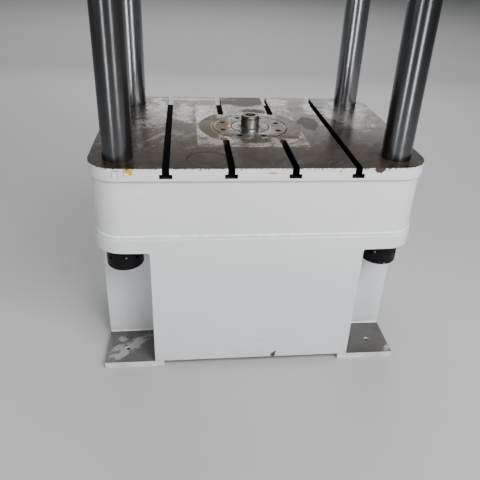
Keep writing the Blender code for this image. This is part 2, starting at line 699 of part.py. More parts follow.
def build_ejector():
    top = TABLE_HEIGHT + EJECTOR_ROD_PROUD
    recess = top - EJECTOR_RECESS_DEPTH
    profile = [
        (0, EJECTOR_PISTON_BOTTOM),
        (EJECTOR_BORE, EJECTOR_PISTON_BOTTOM),
        (EJECTOR_BORE, EJECTOR_PISTON_TOP),
        (EJECTOR_ROD_RADIUS, EJECTOR_PISTON_TOP),
        (EJECTOR_ROD_RADIUS, top - EJECTOR_ROD_CHAMFER),
        (EJECTOR_ROD_RADIUS - EJECTOR_ROD_CHAMFER, top),
        (EJECTOR_RECESS_RADIUS, top),
        (EJECTOR_RECESS_RADIUS, recess),
        (EJECTOR_TAPPED_RADIUS, recess),
        (EJECTOR_TAPPED_RADIUS, recess - EJECTOR_TAPPED_DEPTH),
        (0, recess - EJECTOR_TAPPED_DEPTH),
    ]
    axis = add_empty("ejector_axis", (0, 0, 0))
    add_piece("ejector_rod", turned_mesh("ejector_rod", profile), "ground steel", parent=axis)

    flange_top = BAND_BOTTOM - GAP
    flange_bottom = flange_top - EJECTOR_FLANGE_HEIGHT
    profile = [
        (EJECTOR_BORE + GAP, EJECTOR_BARREL_BOTTOM),
        (EJECTOR_BARREL_RADIUS, EJECTOR_BARREL_BOTTOM),
        (EJECTOR_BARREL_RADIUS, flange_bottom),
        (EJECTOR_FLANGE_RADIUS, flange_bottom),
        (EJECTOR_FLANGE_RADIUS, flange_top),
        (EJECTOR_ROD_RADIUS + GAP, flange_top),
        (EJECTOR_ROD_RADIUS + GAP, EJECTOR_HEAD_BOTTOM),
        (EJECTOR_BORE + GAP, EJECTOR_HEAD_BOTTOM),
    ]
    add_piece("ejector_barrel", turned_mesh("ejector_barrel", profile), "paint")
    cap_top = EJECTOR_BARREL_BOTTOM - GAP
    profile = [
        (0, cap_top - EJECTOR_CAP_HEIGHT),
        (EJECTOR_BARREL_RADIUS, cap_top - EJECTOR_CAP_HEIGHT),
        (EJECTOR_BARREL_RADIUS, cap_top),
        (EJECTOR_BORE, cap_top),
        (EJECTOR_BORE, cap_top + EJECTOR_SPIGOT),
        (0, cap_top + EJECTOR_SPIGOT),
    ]
    add_piece("ejector_end_cap", turned_mesh("ejector_end_cap", profile), "paint")


# Slide

def build_slide():
    moving = add_empty("slide_axis", (0, 0, SLIDE_BOTTOM))
    face_top = SLIDE_FACE_THICKNESS
    box_top = face_top + SLIDE_BOX_HEIGHT
    bush_holes = drills(
        "bush_holes", BUSH_RADIUS + GAP, COLUMN_SIDES, -OVERRUN, SLIDE_HEIGHT + OVERRUN,
        column_centres(), moving)
    face = add_piece(
        "slide_face_plate",
        prism_mesh("slide_face_plate", bed_outline(SLIDE_INSET), 0, face_top),
        "paint", parent=moving)
    slots = slot_cutters("slide_slot", 0, 1, SLIDE_HALF_DEPTH, False, moving)
    cut(face, bush_holes, *slots)
    build_box_wall("slide_wall", SLIDE_INSET + WALL_INSET, SLIDE_WALL, face_top, box_top, moving)
    top = add_piece(
        "slide_top_plate",
        prism_mesh("slide_top_plate", bed_outline(SLIDE_INSET), box_top, SLIDE_HEIGHT),
        "paint", parent=moving)
    cut(top, bush_holes)

    flange_bottom = SLIDE_HEIGHT + GAP
    flange_top = flange_bottom + BUSH_FLANGE_HEIGHT
    bore = COLUMN_RADIUS + GAP
    bush_mesh = turned_mesh("guide_bush", [
        (bore, -BUSH_PROUD),
        (BUSH_RADIUS, -BUSH_PROUD),
        (BUSH_RADIUS, flange_bottom),
        (BUSH_FLANGE_RADIUS, flange_bottom),
        (BUSH_FLANGE_RADIUS, flange_top),
        (bore, flange_top),
    ], COLUMN_SIDES)
    for corner, side, end in corners():
        add_piece(
            f"guide_bush_{corner}", bush_mesh, "bronze",
            (side * COLUMN_X, end * COLUMN_Y, 0), moving)
    build_ram(moving)
    build_vane(moving)


def build_ram(moving):
    piston_bottom = PISTON_BOTTOM - SLIDE_BOTTOM
    profile = [
        (0, SLIDE_HEIGHT + GAP),
        (RAM_FLANGE_RADIUS, SLIDE_HEIGHT + GAP),
        (RAM_FLANGE_RADIUS, SLIDE_HEIGHT + RAM_FLANGE_HEIGHT),
        (RAM_RADIUS, SLIDE_HEIGHT + RAM_FLANGE_HEIGHT),
        (RAM_RADIUS, piston_bottom),
        (MAIN_BORE, piston_bottom),
        (MAIN_BORE, piston_bottom + PISTON_HEIGHT),
        (0, piston_bottom + PISTON_HEIGHT),
    ]
    add_piece("ram", turned_mesh("ram", profile), "ground steel", parent=moving)


def build_vane(moving):
    """A bent vane on the slide's right edge that passes beside the limit switches."""
    edge = SLIDE_HALF_WIDTH + GAP
    low = (SLIDE_FACE_THICKNESS - VANE_HEIGHT) / 2
    outline = [
        (edge, VANE_Y),
        (RAIL_OUTER_X + VANE_REACH, VANE_Y),
        (RAIL_OUTER_X + VANE_REACH, VANE_Y + VANE_THICKNESS),
        (edge + VANE_THICKNESS, VANE_Y + VANE_THICKNESS),
        (edge + VANE_THICKNESS, VANE_Y + VANE_FOOT),
        (edge, VANE_Y + VANE_FOOT),
    ]
    add_piece(
        "switch_vane", prism_mesh("switch_vane", outline, low, low + VANE_HEIGHT),
        "turned steel", parent=moving)


# Crown and main cylinder

def build_crown(column_holes):
    barrel_hole = drills(
        "barrel_hole", MAIN_BARREL_RADIUS + GAP, CENTRE_SIDES,
        CROWN_BOTTOM - OVERRUN, CROWN_TOP + OVERRUN, [(0, 0)])
    plates = {
        "crown_bottom_plate": (CROWN_BOTTOM, CROWN_BOX_BOTTOM),
        "crown_top_plate": (CROWN_BOX_TOP, CROWN_TOP),
    }
    for name, (low, high) in plates.items():
        plate = add_piece(
            name, prism_mesh(name, bed_outline(0), 0, high - low), "paint", (0, 0, low))
        cut(plate, column_holes, barrel_hole)
    build_box_wall("crown_wall", WALL_INSET, CROWN_WALL, CROWN_BOX_BOTTOM, CROWN_BOX_TOP)


def build_main_cylinder():
    bore = MAIN_BORE + GAP
    shoulder_top = CROWN_BOTTOM - GAP
    inner_end = MAIN_BARREL_TOP - MAIN_END_THICKNESS
    profile = [
        (bore, MAIN_BARREL_BOTTOM),
        (MAIN_BARREL_RADIUS, MAIN_BARREL_BOTTOM),
        (MAIN_BARREL_RADIUS, shoulder_top - MAIN_SHOULDER_HEIGHT),
        (MAIN_SHOULDER_RADIUS, shoulder_top - MAIN_SHOULDER_HEIGHT),
        (MAIN_SHOULDER_RADIUS, shoulder_top),
        (MAIN_BARREL_RADIUS, shoulder_top),
        (MAIN_BARREL_RADIUS, MAIN_BARREL_TOP),
        (FILL_PORT_RADIUS, MAIN_BARREL_TOP),
        (FILL_PORT_RADIUS, inner_end),
        (bore, inner_end),
    ]
    add_piece("main_barrel", turned_mesh("main_barrel", profile), "paint")
    gland_top = MAIN_BARREL_BOTTOM - GAP
    profile = [
        (RAM_RADIUS + GAP, gland_top - GLAND_HEIGHT),
        (GLAND_RADIUS, gland_top - GLAND_HEIGHT),
        (GLAND_RADIUS, gland_top),
        (MAIN_BORE, gland_top),
        (MAIN_BORE, gland_top + GLAND_SPIGOT),
        (RAM_RADIUS + GAP, gland_top + GLAND_SPIGOT),
    ]
    add_piece("main_gland", turned_mesh("main_gland", profile), "turned steel")
    nut = nut_profile(MAIN_BARREL_RADIUS + GAP, LOCK_NUT_RADIUS, LOCK_NUT_HEIGHT)
    add_piece(
        "barrel_lock_nut", turned_mesh("barrel_lock_nut", nut), "black steel",
        (0, 0, CROWN_TOP + GAP))


def build_tank():
    floor_top = TANK_BOTTOM + TANK_FLOOR
    rim = TANK_BOTTOM + TANK_HEIGHT
    profile = [
        (VALVE_SPIGOT_RADIUS + GAP, TANK_BOTTOM),
        (TANK_RADIUS, TANK_BOTTOM),
        (TANK_RADIUS, rim),
        (TANK_RADIUS - TANK_WALL, rim),
        (TANK_RADIUS - TANK_WALL, floor_top),
        (VALVE_SPIGOT_RADIUS + GAP, floor_top),
    ]
    add_piece("filling_tank", turned_mesh("filling_tank", profile), "paint")
    valve_top = floor_top + VALVE_HEIGHT
    profile = [
        (0, TANK_BOTTOM),
        (VALVE_SPIGOT_RADIUS, TANK_BOTTOM),
        (VALVE_SPIGOT_RADIUS, floor_top + GAP),
        (VALVE_RADIUS, floor_top + GAP),
        (VALVE_RADIUS, valve_top - VALVE_SHOULDER),
        (VALVE_RADIUS - VALVE_SHOULDER, valve_top),
        (0, valve_top),
    ]
    add_piece("filling_valve", turned_mesh("filling_valve", profile), "turned steel")
    lid_top = LID_THICKNESS
    neck_top = lid_top + BREATHER_NECK_HEIGHT
    profile = [
        (0, 0),
        (TANK_RADIUS + LID_LAP, 0),
        (TANK_RADIUS + LID_LAP, lid_top),
        (BREATHER_NECK_RADIUS, lid_top),
        (BREATHER_NECK_RADIUS, neck_top),
        (BREATHER_CAP_RADIUS, neck_top),
        (BREATHER_CAP_RADIUS, neck_top + BREATHER_CAP_HEIGHT),
        (0, neck_top + BREATHER_CAP_HEIGHT),
    ]
    add_piece("tank_lid", turned_mesh("tank_lid", profile), "paint", (0, 0, rim + GAP))


# Limit switches and junction box

def build_switches():
    bar = rectangle((RAIL_INNER_X, RAIL_OUTER_X), (-RAIL_HALF_WIDTH, RAIL_HALF_WIDTH))
    add_piece(
        "switch_rail",
        prism_mesh("switch_rail", bar, TABLE_HEIGHT - RAIL_LAP, CROWN_BOTTOM + RAIL_LAP),
        "turned steel")
    face = RAIL_OUTER_X + GAP
    body = rectangle((face, face + SWITCH_DEPTH), (-RAIL_HALF_WIDTH, SWITCH_FACE_Y))
    vane_middle = SLIDE_BOTTOM + SLIDE_FACE_THICKNESS / 2
    for name, drop in {"upper_switch": 0, "lower_switch": SLIDE_STROKE}.items():
        mesh = prism_mesh(name, body, -SWITCH_HEIGHT / 2, SWITCH_HEIGHT / 2)
        add_piece(name, mesh, "plastic", (0, 0, vane_middle - drop))


def build_junction_box():
    """An open box on the crown's left wall, whose lid stands out as far as the switches do."""
    wall_x = BED_HALF_WIDTH - WALL_INSET + GAP
    lid_outer = RAIL_OUTER_X + GAP + SWITCH_DEPTH
    lid_inner = lid_outer - BOX_LID_THICKNESS
    open_x = lid_inner - GAP
    middle_z = (CROWN_BOX_BOTTOM + CROWN_BOX_TOP) / 2
    outer = rectangle((-BOX_HALF_WIDTH, BOX_HALF_WIDTH), (-BOX_HALF_HEIGHT, BOX_HALF_HEIGHT))
    box = add_piece(
        "junction_box", prism_mesh("junction_box", outer, -open_x, -wall_x, "X"), "paint",
        (0, 0, middle_z))
    half_width = BOX_HALF_WIDTH - BOX_SHEET
    half_height = BOX_HALF_HEIGHT - BOX_SHEET
    bm = bmesh.new()
    inner = rectangle((-half_width, half_width), (-half_height, half_height))
    add_prism(bm, inner, -open_x - OVERRUN, -wall_x - BOX_SHEET, "X")
    cut(box, add_cutter("junction_box_inside", bm, (0, 0, middle_z)))
    lid = prism_mesh("junction_box_lid", outer, -lid_outer, -lid_inner, "X")
    add_piece("junction_box_lid", lid, "paint", (0, 0, middle_z))


def build_press():
    for item in list(bpy.data.objects):
        bpy.data.objects.remove(item, do_unlink=True)
    column_holes = drills(
        "column_holes", NECK_RADIUS + GAP, COLUMN_SIDES,
        BAND_BOTTOM - OVERRUN, CROWN_TOP + OVERRUN, column_centres())
    build_table(column_holes)
    build_bed_box(column_holes)
    build_legs()
    build_feet()
    build_columns()
    build_ring()
    build_guide()
    build_ejector()
    build_slide()
    build_crown(column_holes)
    build_main_cylinder()
    build_tank()
    build_switches()
    build_junction_box()


build_press()
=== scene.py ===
"""Finishes, rounded edges, welds and fasteners of a four-column hydraulic press."""

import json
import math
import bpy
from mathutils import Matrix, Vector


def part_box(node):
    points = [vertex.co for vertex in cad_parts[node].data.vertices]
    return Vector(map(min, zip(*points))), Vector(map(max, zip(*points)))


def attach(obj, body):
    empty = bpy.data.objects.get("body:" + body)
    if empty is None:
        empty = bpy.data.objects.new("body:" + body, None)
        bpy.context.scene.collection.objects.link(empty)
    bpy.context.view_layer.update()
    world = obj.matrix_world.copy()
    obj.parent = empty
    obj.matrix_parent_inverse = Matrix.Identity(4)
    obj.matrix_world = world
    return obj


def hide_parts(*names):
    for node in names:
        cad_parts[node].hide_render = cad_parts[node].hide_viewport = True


bl_info = {
    "name": "Four-column hydraulic press",
    "version": (1, 0, 0),
    "blender": (4, 5, 0),
    "location": "3D View > Sidebar > Press",
    "description": "Dresses the press's solids with finishes, rounded edges, welds and fasteners",
    "category": "Object",
}

import bmesh
import bpy
from bpy.props import FloatProperty, FloatVectorProperty, IntProperty, PointerProperty
from mathutils import Matrix, Vector

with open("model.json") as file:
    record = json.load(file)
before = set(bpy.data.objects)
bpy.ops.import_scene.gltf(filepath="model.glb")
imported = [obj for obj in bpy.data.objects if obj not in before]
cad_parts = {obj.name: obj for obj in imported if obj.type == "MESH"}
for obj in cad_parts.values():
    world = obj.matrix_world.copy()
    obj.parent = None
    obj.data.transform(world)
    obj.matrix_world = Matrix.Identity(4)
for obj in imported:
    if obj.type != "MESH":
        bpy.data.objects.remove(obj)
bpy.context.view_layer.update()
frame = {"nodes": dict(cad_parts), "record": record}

MM = 0.001
GAP = 0.3 * MM
MERGE_DISTANCE = 0.001 * MM
OVERRUN = 12 * MM
SHARP_ANGLE = math.radians(42)
CORNER_ANGLE = math.radians(30)
FLAT_ANGLE = math.radians(0.5)

SIDES = {"left": -1, "right": 1}
ENDS = {"front": -1, "back": 1}
CORNERS = [
    (f"{end_name}_{side_name}", side, end)
    for end_name, end in ENDS.items() for side_name, side in SIDES.items()
]
BODY_OF = {
    node: body
    for body, nodes in frame["record"]["behaviour"]["bodies"].items() for node in nodes
}
SLOT_OF = {part["node"]: part["material_slot"] for part in frame["record"]["subparts"]}

TABLE_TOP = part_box("table_plate")[1].z
TABLE_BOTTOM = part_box("table_plate")[0].z
BED_HALF_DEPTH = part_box("table_plate")[1].y
SLIDE_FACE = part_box("slide_face_plate")[0].z


# Sizes and colours that a user may change

class PressShape(bpy.types.PropertyGroup):
    """Sizes of the rounded edges, slots and repeated pieces."""

    corner_radius: FloatProperty(
        name="Corner radius", description="Round corners of the bed, slide and crown",
        default=125 * MM, unit="LENGTH")
    corner_steps: IntProperty(
        name="Corner steps", description="Steps in each round corner", default=20)
    turned_sides: IntProperty(
        name="Turned sides", description="Sides of the turned pieces", default=96)
    edge_rounding: FloatProperty(
        name="Edge rounding", description="Width of the rounded edges of plates",
        default=1.6 * MM, unit="LENGTH")
    turned_rounding: FloatProperty(
        name="Turned rounding", description="Width of the broken edges of turned pieces",
        default=1.0 * MM, unit="LENGTH")
    slot_rounding: FloatProperty(
        name="Slot rounding", description="Width of the broken edges of the T-slots",
        default=0.7 * MM, unit="LENGTH")
    slot_pitch: FloatProperty(
        name="Slot pitch", description="Distance between T-slots", default=250 * MM, unit="LENGTH")
    slot_width: FloatProperty(
        name="Slot width", description="Width of a T-slot's throat", default=28 * MM, unit="LENGTH")
    slot_throat_depth: FloatProperty(
        name="Throat depth", description="Depth of a T-slot's throat", default=26 * MM, unit="LENGTH")
    slot_head_width: FloatProperty(
        name="Head width", description="Width of a T-slot's head", default=50 * MM, unit="LENGTH")
    slot_head_depth: FloatProperty(
        name="Head depth", description="Depth of a T-slot's head", default=18 * MM, unit="LENGTH")
    slot_from_ring: FloatProperty(
        name="Slot from ring", description="Metal between a short slot and the ring plate",
        default=10.5 * MM, unit="LENGTH")
    thread_pitch: FloatProperty(
        name="Thread pitch", description="Pitch of the columns' threads", default=4 * MM, unit="LENGTH")
    bead_radius: FloatProperty(
        name="Bead radius", description="Radius of the weld beads", default=5 * MM, unit="LENGTH")
    bead_ripple: FloatProperty(
        name="Bead ripple", description="Pitch of the ripples in a weld bead",
        default=8 * MM, unit="LENGTH")


class PressFinish(bpy.types.PropertyGroup):
    """Colours of the paint and the metals."""

    paint: FloatVectorProperty(
        name="Paint", description="Off-white paint", subtype="COLOR", default=(0.70, 0.71, 0.70))
    shaded_paint: FloatVectorProperty(
        name="Lower paint", description="Paint towards the floor, a little bluer",
        subtype="COLOR", default=(0.60, 0.63, 0.67))
    primer: FloatVectorProperty(
        name="Primer", description="Red-brown primer under chipped paint",
        subtype="COLOR", default=(0.042, 0.017, 0.013))
    marker: FloatVectorProperty(
        name="Marking paint", description="Yellow smears on the table's edge",
        subtype="COLOR", default=(0.56, 0.36, 0.0))
    oiled_steel: FloatVectorProperty(
        name="Oiled steel", description="Dark brown-grey table steel",
        subtype="COLOR", default=(0.058, 0.043, 0.031))
    rubbed_steel: FloatVectorProperty(
        name="Rubbed steel", description="Bright rubbed table steel",
        subtype="COLOR", default=(0.62, 0.59, 0.55))
    oil: FloatVectorProperty(
        name="Oil", description="Olive oil stains", subtype="COLOR", default=(0.044, 0.034, 0.011))
    amber: FloatVectorProperty(
        name="Amber", description="Dried amber oil", subtype="COLOR", default=(0.095, 0.052, 0.010))
    rust: FloatVectorProperty(
        name="Rust", description="Rusty slot ends", subtype="COLOR", default=(0.07, 0.04, 0.022))
    ground_steel: FloatVectorProperty(
        name="Ground steel", description="Columns and ram",
        subtype="COLOR", default=(0.33, 0.34, 0.36))
    # Painted reflection: this bright middle stands against the rod's darker sides.
    rod_steel: FloatVectorProperty(
        name="Rod steel", description="Bright middle of the ejector rod",
        subtype="COLOR", default=(0.62, 0.62, 0.62))
    turned_steel: FloatVectorProperty(
        name="Turned steel", description="Gland, rail and vane",
        subtype="COLOR", default=(0.42, 0.41, 0.40))
    foot_steel: FloatVectorProperty(
        name="Foot steel", description="Bare foot plates", subtype="COLOR",
        default=(0.17, 0.162, 0.152))
    black_steel: FloatVectorProperty(
        name="Black steel", description="Blackened nuts and screws",
        subtype="COLOR", default=(0.006, 0.006, 0.007))
    bronze: FloatVectorProperty(
        name="Bronze", description="Guide bushes", subtype="COLOR", default=(0.56, 0.36, 0.16))
    warning_orange: FloatVectorProperty(
        name="Warning orange", description="Light stripes on the slide's edge",
        subtype="COLOR", default=(0.75, 0.22, 0.03))
    warning_black: FloatVectorProperty(
        name="Warning black", description="Dark stripes on the slide's edge",
        subtype="COLOR", default=(0.02, 0.02, 0.02))


class PressStage(bpy.types.PropertyGroup):
    """The floor, the light and the camera."""

    floor: FloatVectorProperty(
        name="Floor", description="Plain pale floor", subtype="COLOR", default=(0.42, 0.42, 0.42))
    world: FloatProperty(name="World", description="Strength of the even light", default=0.13)
    key: FloatProperty(name="Key light", description="Watts of the main soft light", default=400)
    fill: FloatProperty(name="Fill light", description="Watts of the opposite soft light", default=28)
    back: FloatProperty(name="Back light", description="Watts of the light behind", default=62)
    far: FloatProperty(
        name="Far light", description="Watts of the light over the far floor", default=1300)
    strips: FloatProperty(
        name="Strip lights", description="Watts of each tall narrow light", default=16)


# Graphs of nodes, for materials and for geometry

class Field:
    """A number in a graph that can stand in sums."""

    def __init__(self, graph, socket):
        self.graph = graph
        self.socket = socket

    def sum(self, operation, first, second=0.0):
        return self.graph.node("ShaderNodeMath", {"operation": operation}, {0: first, 1: second})

    def __add__(self, other):
        return self.sum("ADD", self, other)

    __radd__ = __add__

    def __sub__(self, other):
        return self.sum("SUBTRACT", self, other)

    def __rsub__(self, other):
        return self.sum("SUBTRACT", other, self)

    def __mul__(self, other):
        return self.sum("MULTIPLY", self, other)

    __rmul__ = __mul__

    def __truediv__(self, other):
        return self.sum("DIVIDE", self, other)

    def __rtruediv__(self, other):
        return self.sum("DIVIDE", other, self)

    def __abs__(self):
        return self.sum("ABSOLUTE", self)

    def lowest(self, other):
        return self.sum("MINIMUM", self, other)

    def highest(self, other):
        return self.sum("MAXIMUM", self, other)

    def root(self):
        return self.sum("SQRT", self)

    def wave(self):
        return self.sum("SINE", self)

    def remainder(self, other):
        return self.sum("FLOORED_MODULO", self, other)


class Graph:
    """Makes nodes in one tree."""

    def __init__(self, tree):
        self.tree = tree

    def node(self, kind, settings=None, inputs=None, output=0):
        """Add a node: its settings first, then the values or links of its sockets."""
        made = self.tree.nodes.new(kind)
        for name, value in (settings or {}).items():
            setattr(made, name, value)
        for key, value in (inputs or {}).items():
            socket = made.inputs[key]
            for part in value if isinstance(value, list) else [value]:
                if isinstance(part, Field):
                    self.tree.links.new(part.socket, socket)
                else:
                    socket.default_value = part
        return Field(self, made.outputs[output]) if made.outputs else None


class Finish(Graph):
    """One material, made of patterns on Object coordinates."""

    def __init__(self, name):
        self.material = bpy.data.materials.new(name)
        self.material.use_nodes = True
        self.material.node_tree.nodes.clear()
        super().__init__(self.material.node_tree)
        self.place = self.node("ShaderNodeTexCoord", output="Object")
        self.x, self.y, self.z = [self.along(axis, self.place) for axis in "XYZ"]

    def along(self, axis, place):
        """One coordinate of a place."""
        return self.node("ShaderNodeSeparateXYZ", inputs={0: place}, output=axis)

    def stretched(self, factors, turn=0.0):
        """The place turned about Z and then scaled along each axis."""
        turned = self.node(
            "ShaderNodeVectorRotate", {"rotation_type": "Z_AXIS"}, {"Vector": self.place, "Angle": turn})
        return self.node("ShaderNodeVectorMath", {"operation": "MULTIPLY"}, {0: turned, 1: factors})

    def noise(self, scale, detail=3.0, roughness=0.55, place=None, distortion=0.0):
        return self.node("ShaderNodeTexNoise", inputs={
            "Vector": place or self.place, "Scale": scale, "Detail": detail,
            "Roughness": roughness, "Distortion": distortion})

    def drawn_noise(self, factors, detail, roughness, turn=0.0, distortion=0.0):
        """Noise whose grains are drawn out along some axes."""
        return self.noise(1.0, detail, roughness, self.stretched(factors, turn), distortion)

    def cells(self, scale):
        """The distance to the nearest of many scattered points, in cells."""
        return self.node("ShaderNodeTexVoronoi", inputs={"Vector": self.place, "Scale": scale})

    def distance(self, across, along):
        return (across * across + along * along).root()

    def step(self, value, low, high):
        """A soft step that is 0 below low and 1 above high."""
        return self.node(
            "ShaderNodeMapRange", {"interpolation_type": "SMOOTHSTEP"},
            {0: value, 1: low, 2: high, 3: 0.0, 4: 1.0})

    def inside(self, value, low, high, soft):
        """1 between low and high, with soft borders."""
        above = self.step(value, low - soft, low + soft)
        return above * (1 - self.step(value, high - soft, high + soft))

    def spot(self, first, second, patch, ragged, soft=0.25):
        """1 inside a ragged ellipse in two coordinates, given by its middle and half sizes in mm."""
        middle_x, middle_y, half_x, half_y = [value * MM for value in patch]
        reach = self.distance((first - middle_x) / half_x, (second - middle_y) / half_y) + ragged
        return 1 - self.step(reach, 1 - soft, 1.0)

    def spots(self, first, second, patches, ragged, soft=0.25):
        """1 inside any of several ragged ellipses."""
        masks = [self.spot(first, second, patch, ragged, soft) for patch in patches]
        for mask in masks[1:]:
            masks[0] = masks[0].highest(mask)
        return masks[0]

    def mix(self, factor, first, second):
        """Blend two colours."""
        colours = [c if isinstance(c, Field) else (*c, 1.0) for c in (first, second)]
        return self.node(
            "ShaderNodeMix", {"data_type": "RGBA"},
            {0: factor, 6: colours[0], 7: colours[1]}, output=2)

    def bump(self, height, distance, strength=1.0, under=None):
        inputs = {"Strength": strength, "Distance": distance, "Height": height}
        if under is not None:
            inputs["Normal"] = under
        return self.node("ShaderNodeBump", inputs=inputs)

    def surface(self, colour, roughness, metallic, normal=None, fixed=None):
        """One surface shader."""
        inputs = {"Base Color": colour, "Roughness": roughness, "Metallic": metallic, **(fixed or {})}
        if normal is not None:
            inputs["Normal"] = normal
        return self.node("ShaderNodeBsdfPrincipled", inputs=inputs)

    def end(self, surface):
        """Put a surface on the material's output."""
        self.node("ShaderNodeOutputMaterial", inputs={"Surface": surface})
        return self.material

    def covered(self, cover, under, over):
        """End the material in one surface that partly covers another."""
        return self.end(self.node("ShaderNodeMixShader", inputs={0: cover, 1: under, 2: over}))

    def shader(self, colour, roughness, metallic, normal=None, fixed=None):
        """End the material in one surface shader."""
        return self.end(self.surface(colour, roughness, metallic, normal, fixed))


# Colours of wear, grime and stains, and of painted shade, shadow, highlights and reflections, linear

PALE_MOTTLE = (0.55, 0.56, 0.55)
PEEL_SHADE = (0.45, 0.46, 0.47)
SEAM_SHADOW_AND_GRIME = (0.07, 0.07, 0.07)
FLOOR_SPLASH = (0.24, 0.22, 0.20)
SCUFF_GREY = (0.36, 0.36, 0.36)
SPECK_BROWN = (0.12, 0.11, 0.10)
RUB_GREY = (0.40, 0.40, 0.37)
BEAD_HIGHLIGHT_PAINT = (0.88, 0.89, 0.88)
DRIP_BROWN = (0.13, 0.085, 0.02)
BARE_EDGE = (0.018, 0.014, 0.012)
WIPED_STEEL = (0.30, 0.27, 0.24)
BROWN_FILM = (0.06, 0.044, 0.034)
DARK_FILM = (0.04, 0.032, 0.026)
BRIGHT_GRAIN = (0.42, 0.39, 0.35)
DARK_GRAIN = (0.03, 0.024, 0.02)
GLINT_WHITE = (0.90, 0.88, 0.83)
THIN_SOIL = (0.052, 0.038, 0.026)
THICK_SOIL = (0.026, 0.019, 0.013)
BLOTCH_SOIL = (0.012, 0.009, 0.007)
SLOT_SHADE_AND_SEAM_BLACK = (0.004, 0.004, 0.004)
FOOT_SCALE = (0.11, 0.104, 0.096)
FOOT_GLEAM = (0.27, 0.26, 0.25)
FOOT_PIT = (0.04, 0.036, 0.032)
FOOT_SHADE = (0.08, 0.077, 0.07)
SMEARED_PAINT = (0.46, 0.46, 0.46)
BORE_SHADOW_BLACK = (0.01, 0.01, 0.01)
COLUMN_SMUDGE = (0.10, 0.095, 0.09)
COLUMN_DARK_REFLECTION = (0.02, 0.019, 0.018, 1.0)
ROD_STREAK = (0.25, 0.24, 0.22)
ROD_FLANK_SHADE = (0.055, 0.048, 0.03)
ROD_BAND = (0.11, 0.10, 0.075)
ROD_END = (0.13, 0.095, 0.05)
ROD_RECESS_SHADE = (0.006, 0.005, 0.004)
TURNED_STAIN = (0.22, 0.19, 0.16)
WORN_BLACK = (0.045, 0.042, 0.04)
BRONZE_FILM = (0.25, 0.15, 0.07)
RUBBER_BLOOM = (0.05, 0.045, 0.04)
SWITCH_GREY = (0.03, 0.034, 0.04)
SWITCH_DUST = (0.13, 0.13, 0.13)
SKY = (0.86, 0.89, 0.93, 1.0)


# Materials

PAINT_ROUGHNESS = 0.34
GLOSS_COAT = {"Coat Weight": 0.8, "Coat Roughness": 0.08}
DULL = {"Specular IOR Level": 0.1}
BLACK_SHEEN = {"Specular IOR Level": 0.12}
PEEL_SCALE = 210.0
PEEL_HEIGHT = 0.35 * MM
WARP_HEIGHT = 1.2 * MM

# Marks on the front face, in mm: middle in X and Z, half sizes
PANEL_CHIPS = ((96, 44, 13, 15), (104, 60, 5, 6))
PANEL_SCUFFS = ((30, 135, 30, 5), (210, 420, 34, 5), (-250, 300, 20, 4))


def paint_fields(finish, colours):
    """Colour, roughness and normal of the off-white paint."""
    mottle = finish.noise(2.6, 4.0)
    grime = finish.noise(9.0, 6.0, 0.65)
    ragged = (finish.noise(60.0, 4.0, 0.65) - 0.5) * 1.5
    peel = finish.noise(PEEL_SCALE, 2.0)
    lower = 1 - finish.step(finish.z, 0.15, 0.95)
    colour = finish.mix(lower * 0.85 + mottle * 0.15, colours.paint, colours.shaded_paint)
    colour = finish.mix(finish.step(mottle, 0.45, 0.7) * 0.14, colour, PALE_MOTTLE)
    colour = finish.mix(finish.step(peel, 0.45, 0.7) * 0.12, colour, PEEL_SHADE)
    # Painted shadow: a dark line under the table plate's overhang, along its seam with the wall, uneven
    # like grime.
    dirt_and_shade = finish.inside(finish.z, TABLE_BOTTOM - 3.4 * MM, TABLE_BOTTOM + 1.2 * MM, 0.8 * MM)
    colour = finish.mix(dirt_and_shade * (0.65 + grime * 0.5), colour, SEAM_SHADOW_AND_GRIME)
    splash = (1 - finish.step(finish.z, 0.0, 0.11)) * finish.step(grime, 0.42, 0.66)
    colour = finish.mix(splash * 0.5, colour, FLOOR_SPLASH)
    drag = finish.drawn_noise((5.0, 5.0, 90.0), 3.0, 0.6, 0.3)
    scuff = finish.step(drag, 0.665, 0.70) * finish.step(grime, 0.52, 0.6)
    colour = finish.mix(scuff * 0.4, colour, SCUFF_GREY)
    specks = 1 - finish.step(finish.cells(34.0), 0.025, 0.05)
    speck_mask = specks * finish.step(finish.noise(5.0, 2.0), 0.56, 0.62)
    colour = finish.mix(speck_mask * 0.7, colour, SPECK_BROWN)
    front = 1 - finish.step(finish.y, 5 * MM - BED_HALF_DEPTH, 10 * MM - BED_HALF_DEPTH)
    rub = finish.spots(finish.x, finish.z, PANEL_SCUFFS, ragged, 0.5) * front
    colour = finish.mix(rub * 0.4, colour, RUB_GREY)
    chips = finish.spots(finish.x, finish.z, PANEL_CHIPS, ragged, 0.1) * front
    colour = finish.mix(chips, colour, colours.primer)
    roughness = PAINT_ROUGHNESS + grime * 0.16 + scuff * 0.2 + chips * 0.25
    warp = finish.bump(finish.noise(4.0, 2.0), WARP_HEIGHT, 0.25)
    normal = finish.bump(peel - chips, PEEL_HEIGHT, 0.6, warp)
    return colour, roughness, normal


def paint_material(colours):
    finish = Finish("off_white_paint")
    colour, roughness, normal = paint_fields(finish, colours)
    return finish.shader(colour, roughness, 0.0, normal, GLOSS_COAT)


def bead_material(colours):
    """Paint on a weld bead, glossier than on the plates and lighter, most in patches: a painted
    highlight.
    """
    finish = Finish("paint_on_weld_beads")
    colour, roughness, normal = paint_fields(finish, colours)
    # Painted highlight: the paint lightened along the whole bead, most in noisy patches.
    painted_bead_highlight = finish.step(finish.noise(34.0, 4.0, 0.6), 0.4, 0.65)
    colour = finish.mix(0.25 + painted_bead_highlight * 0.7, colour, BEAD_HIGHLIGHT_PAINT)
    return finish.shader(colour, roughness * 0.45, 0.0, normal, GLOSS_COAT)


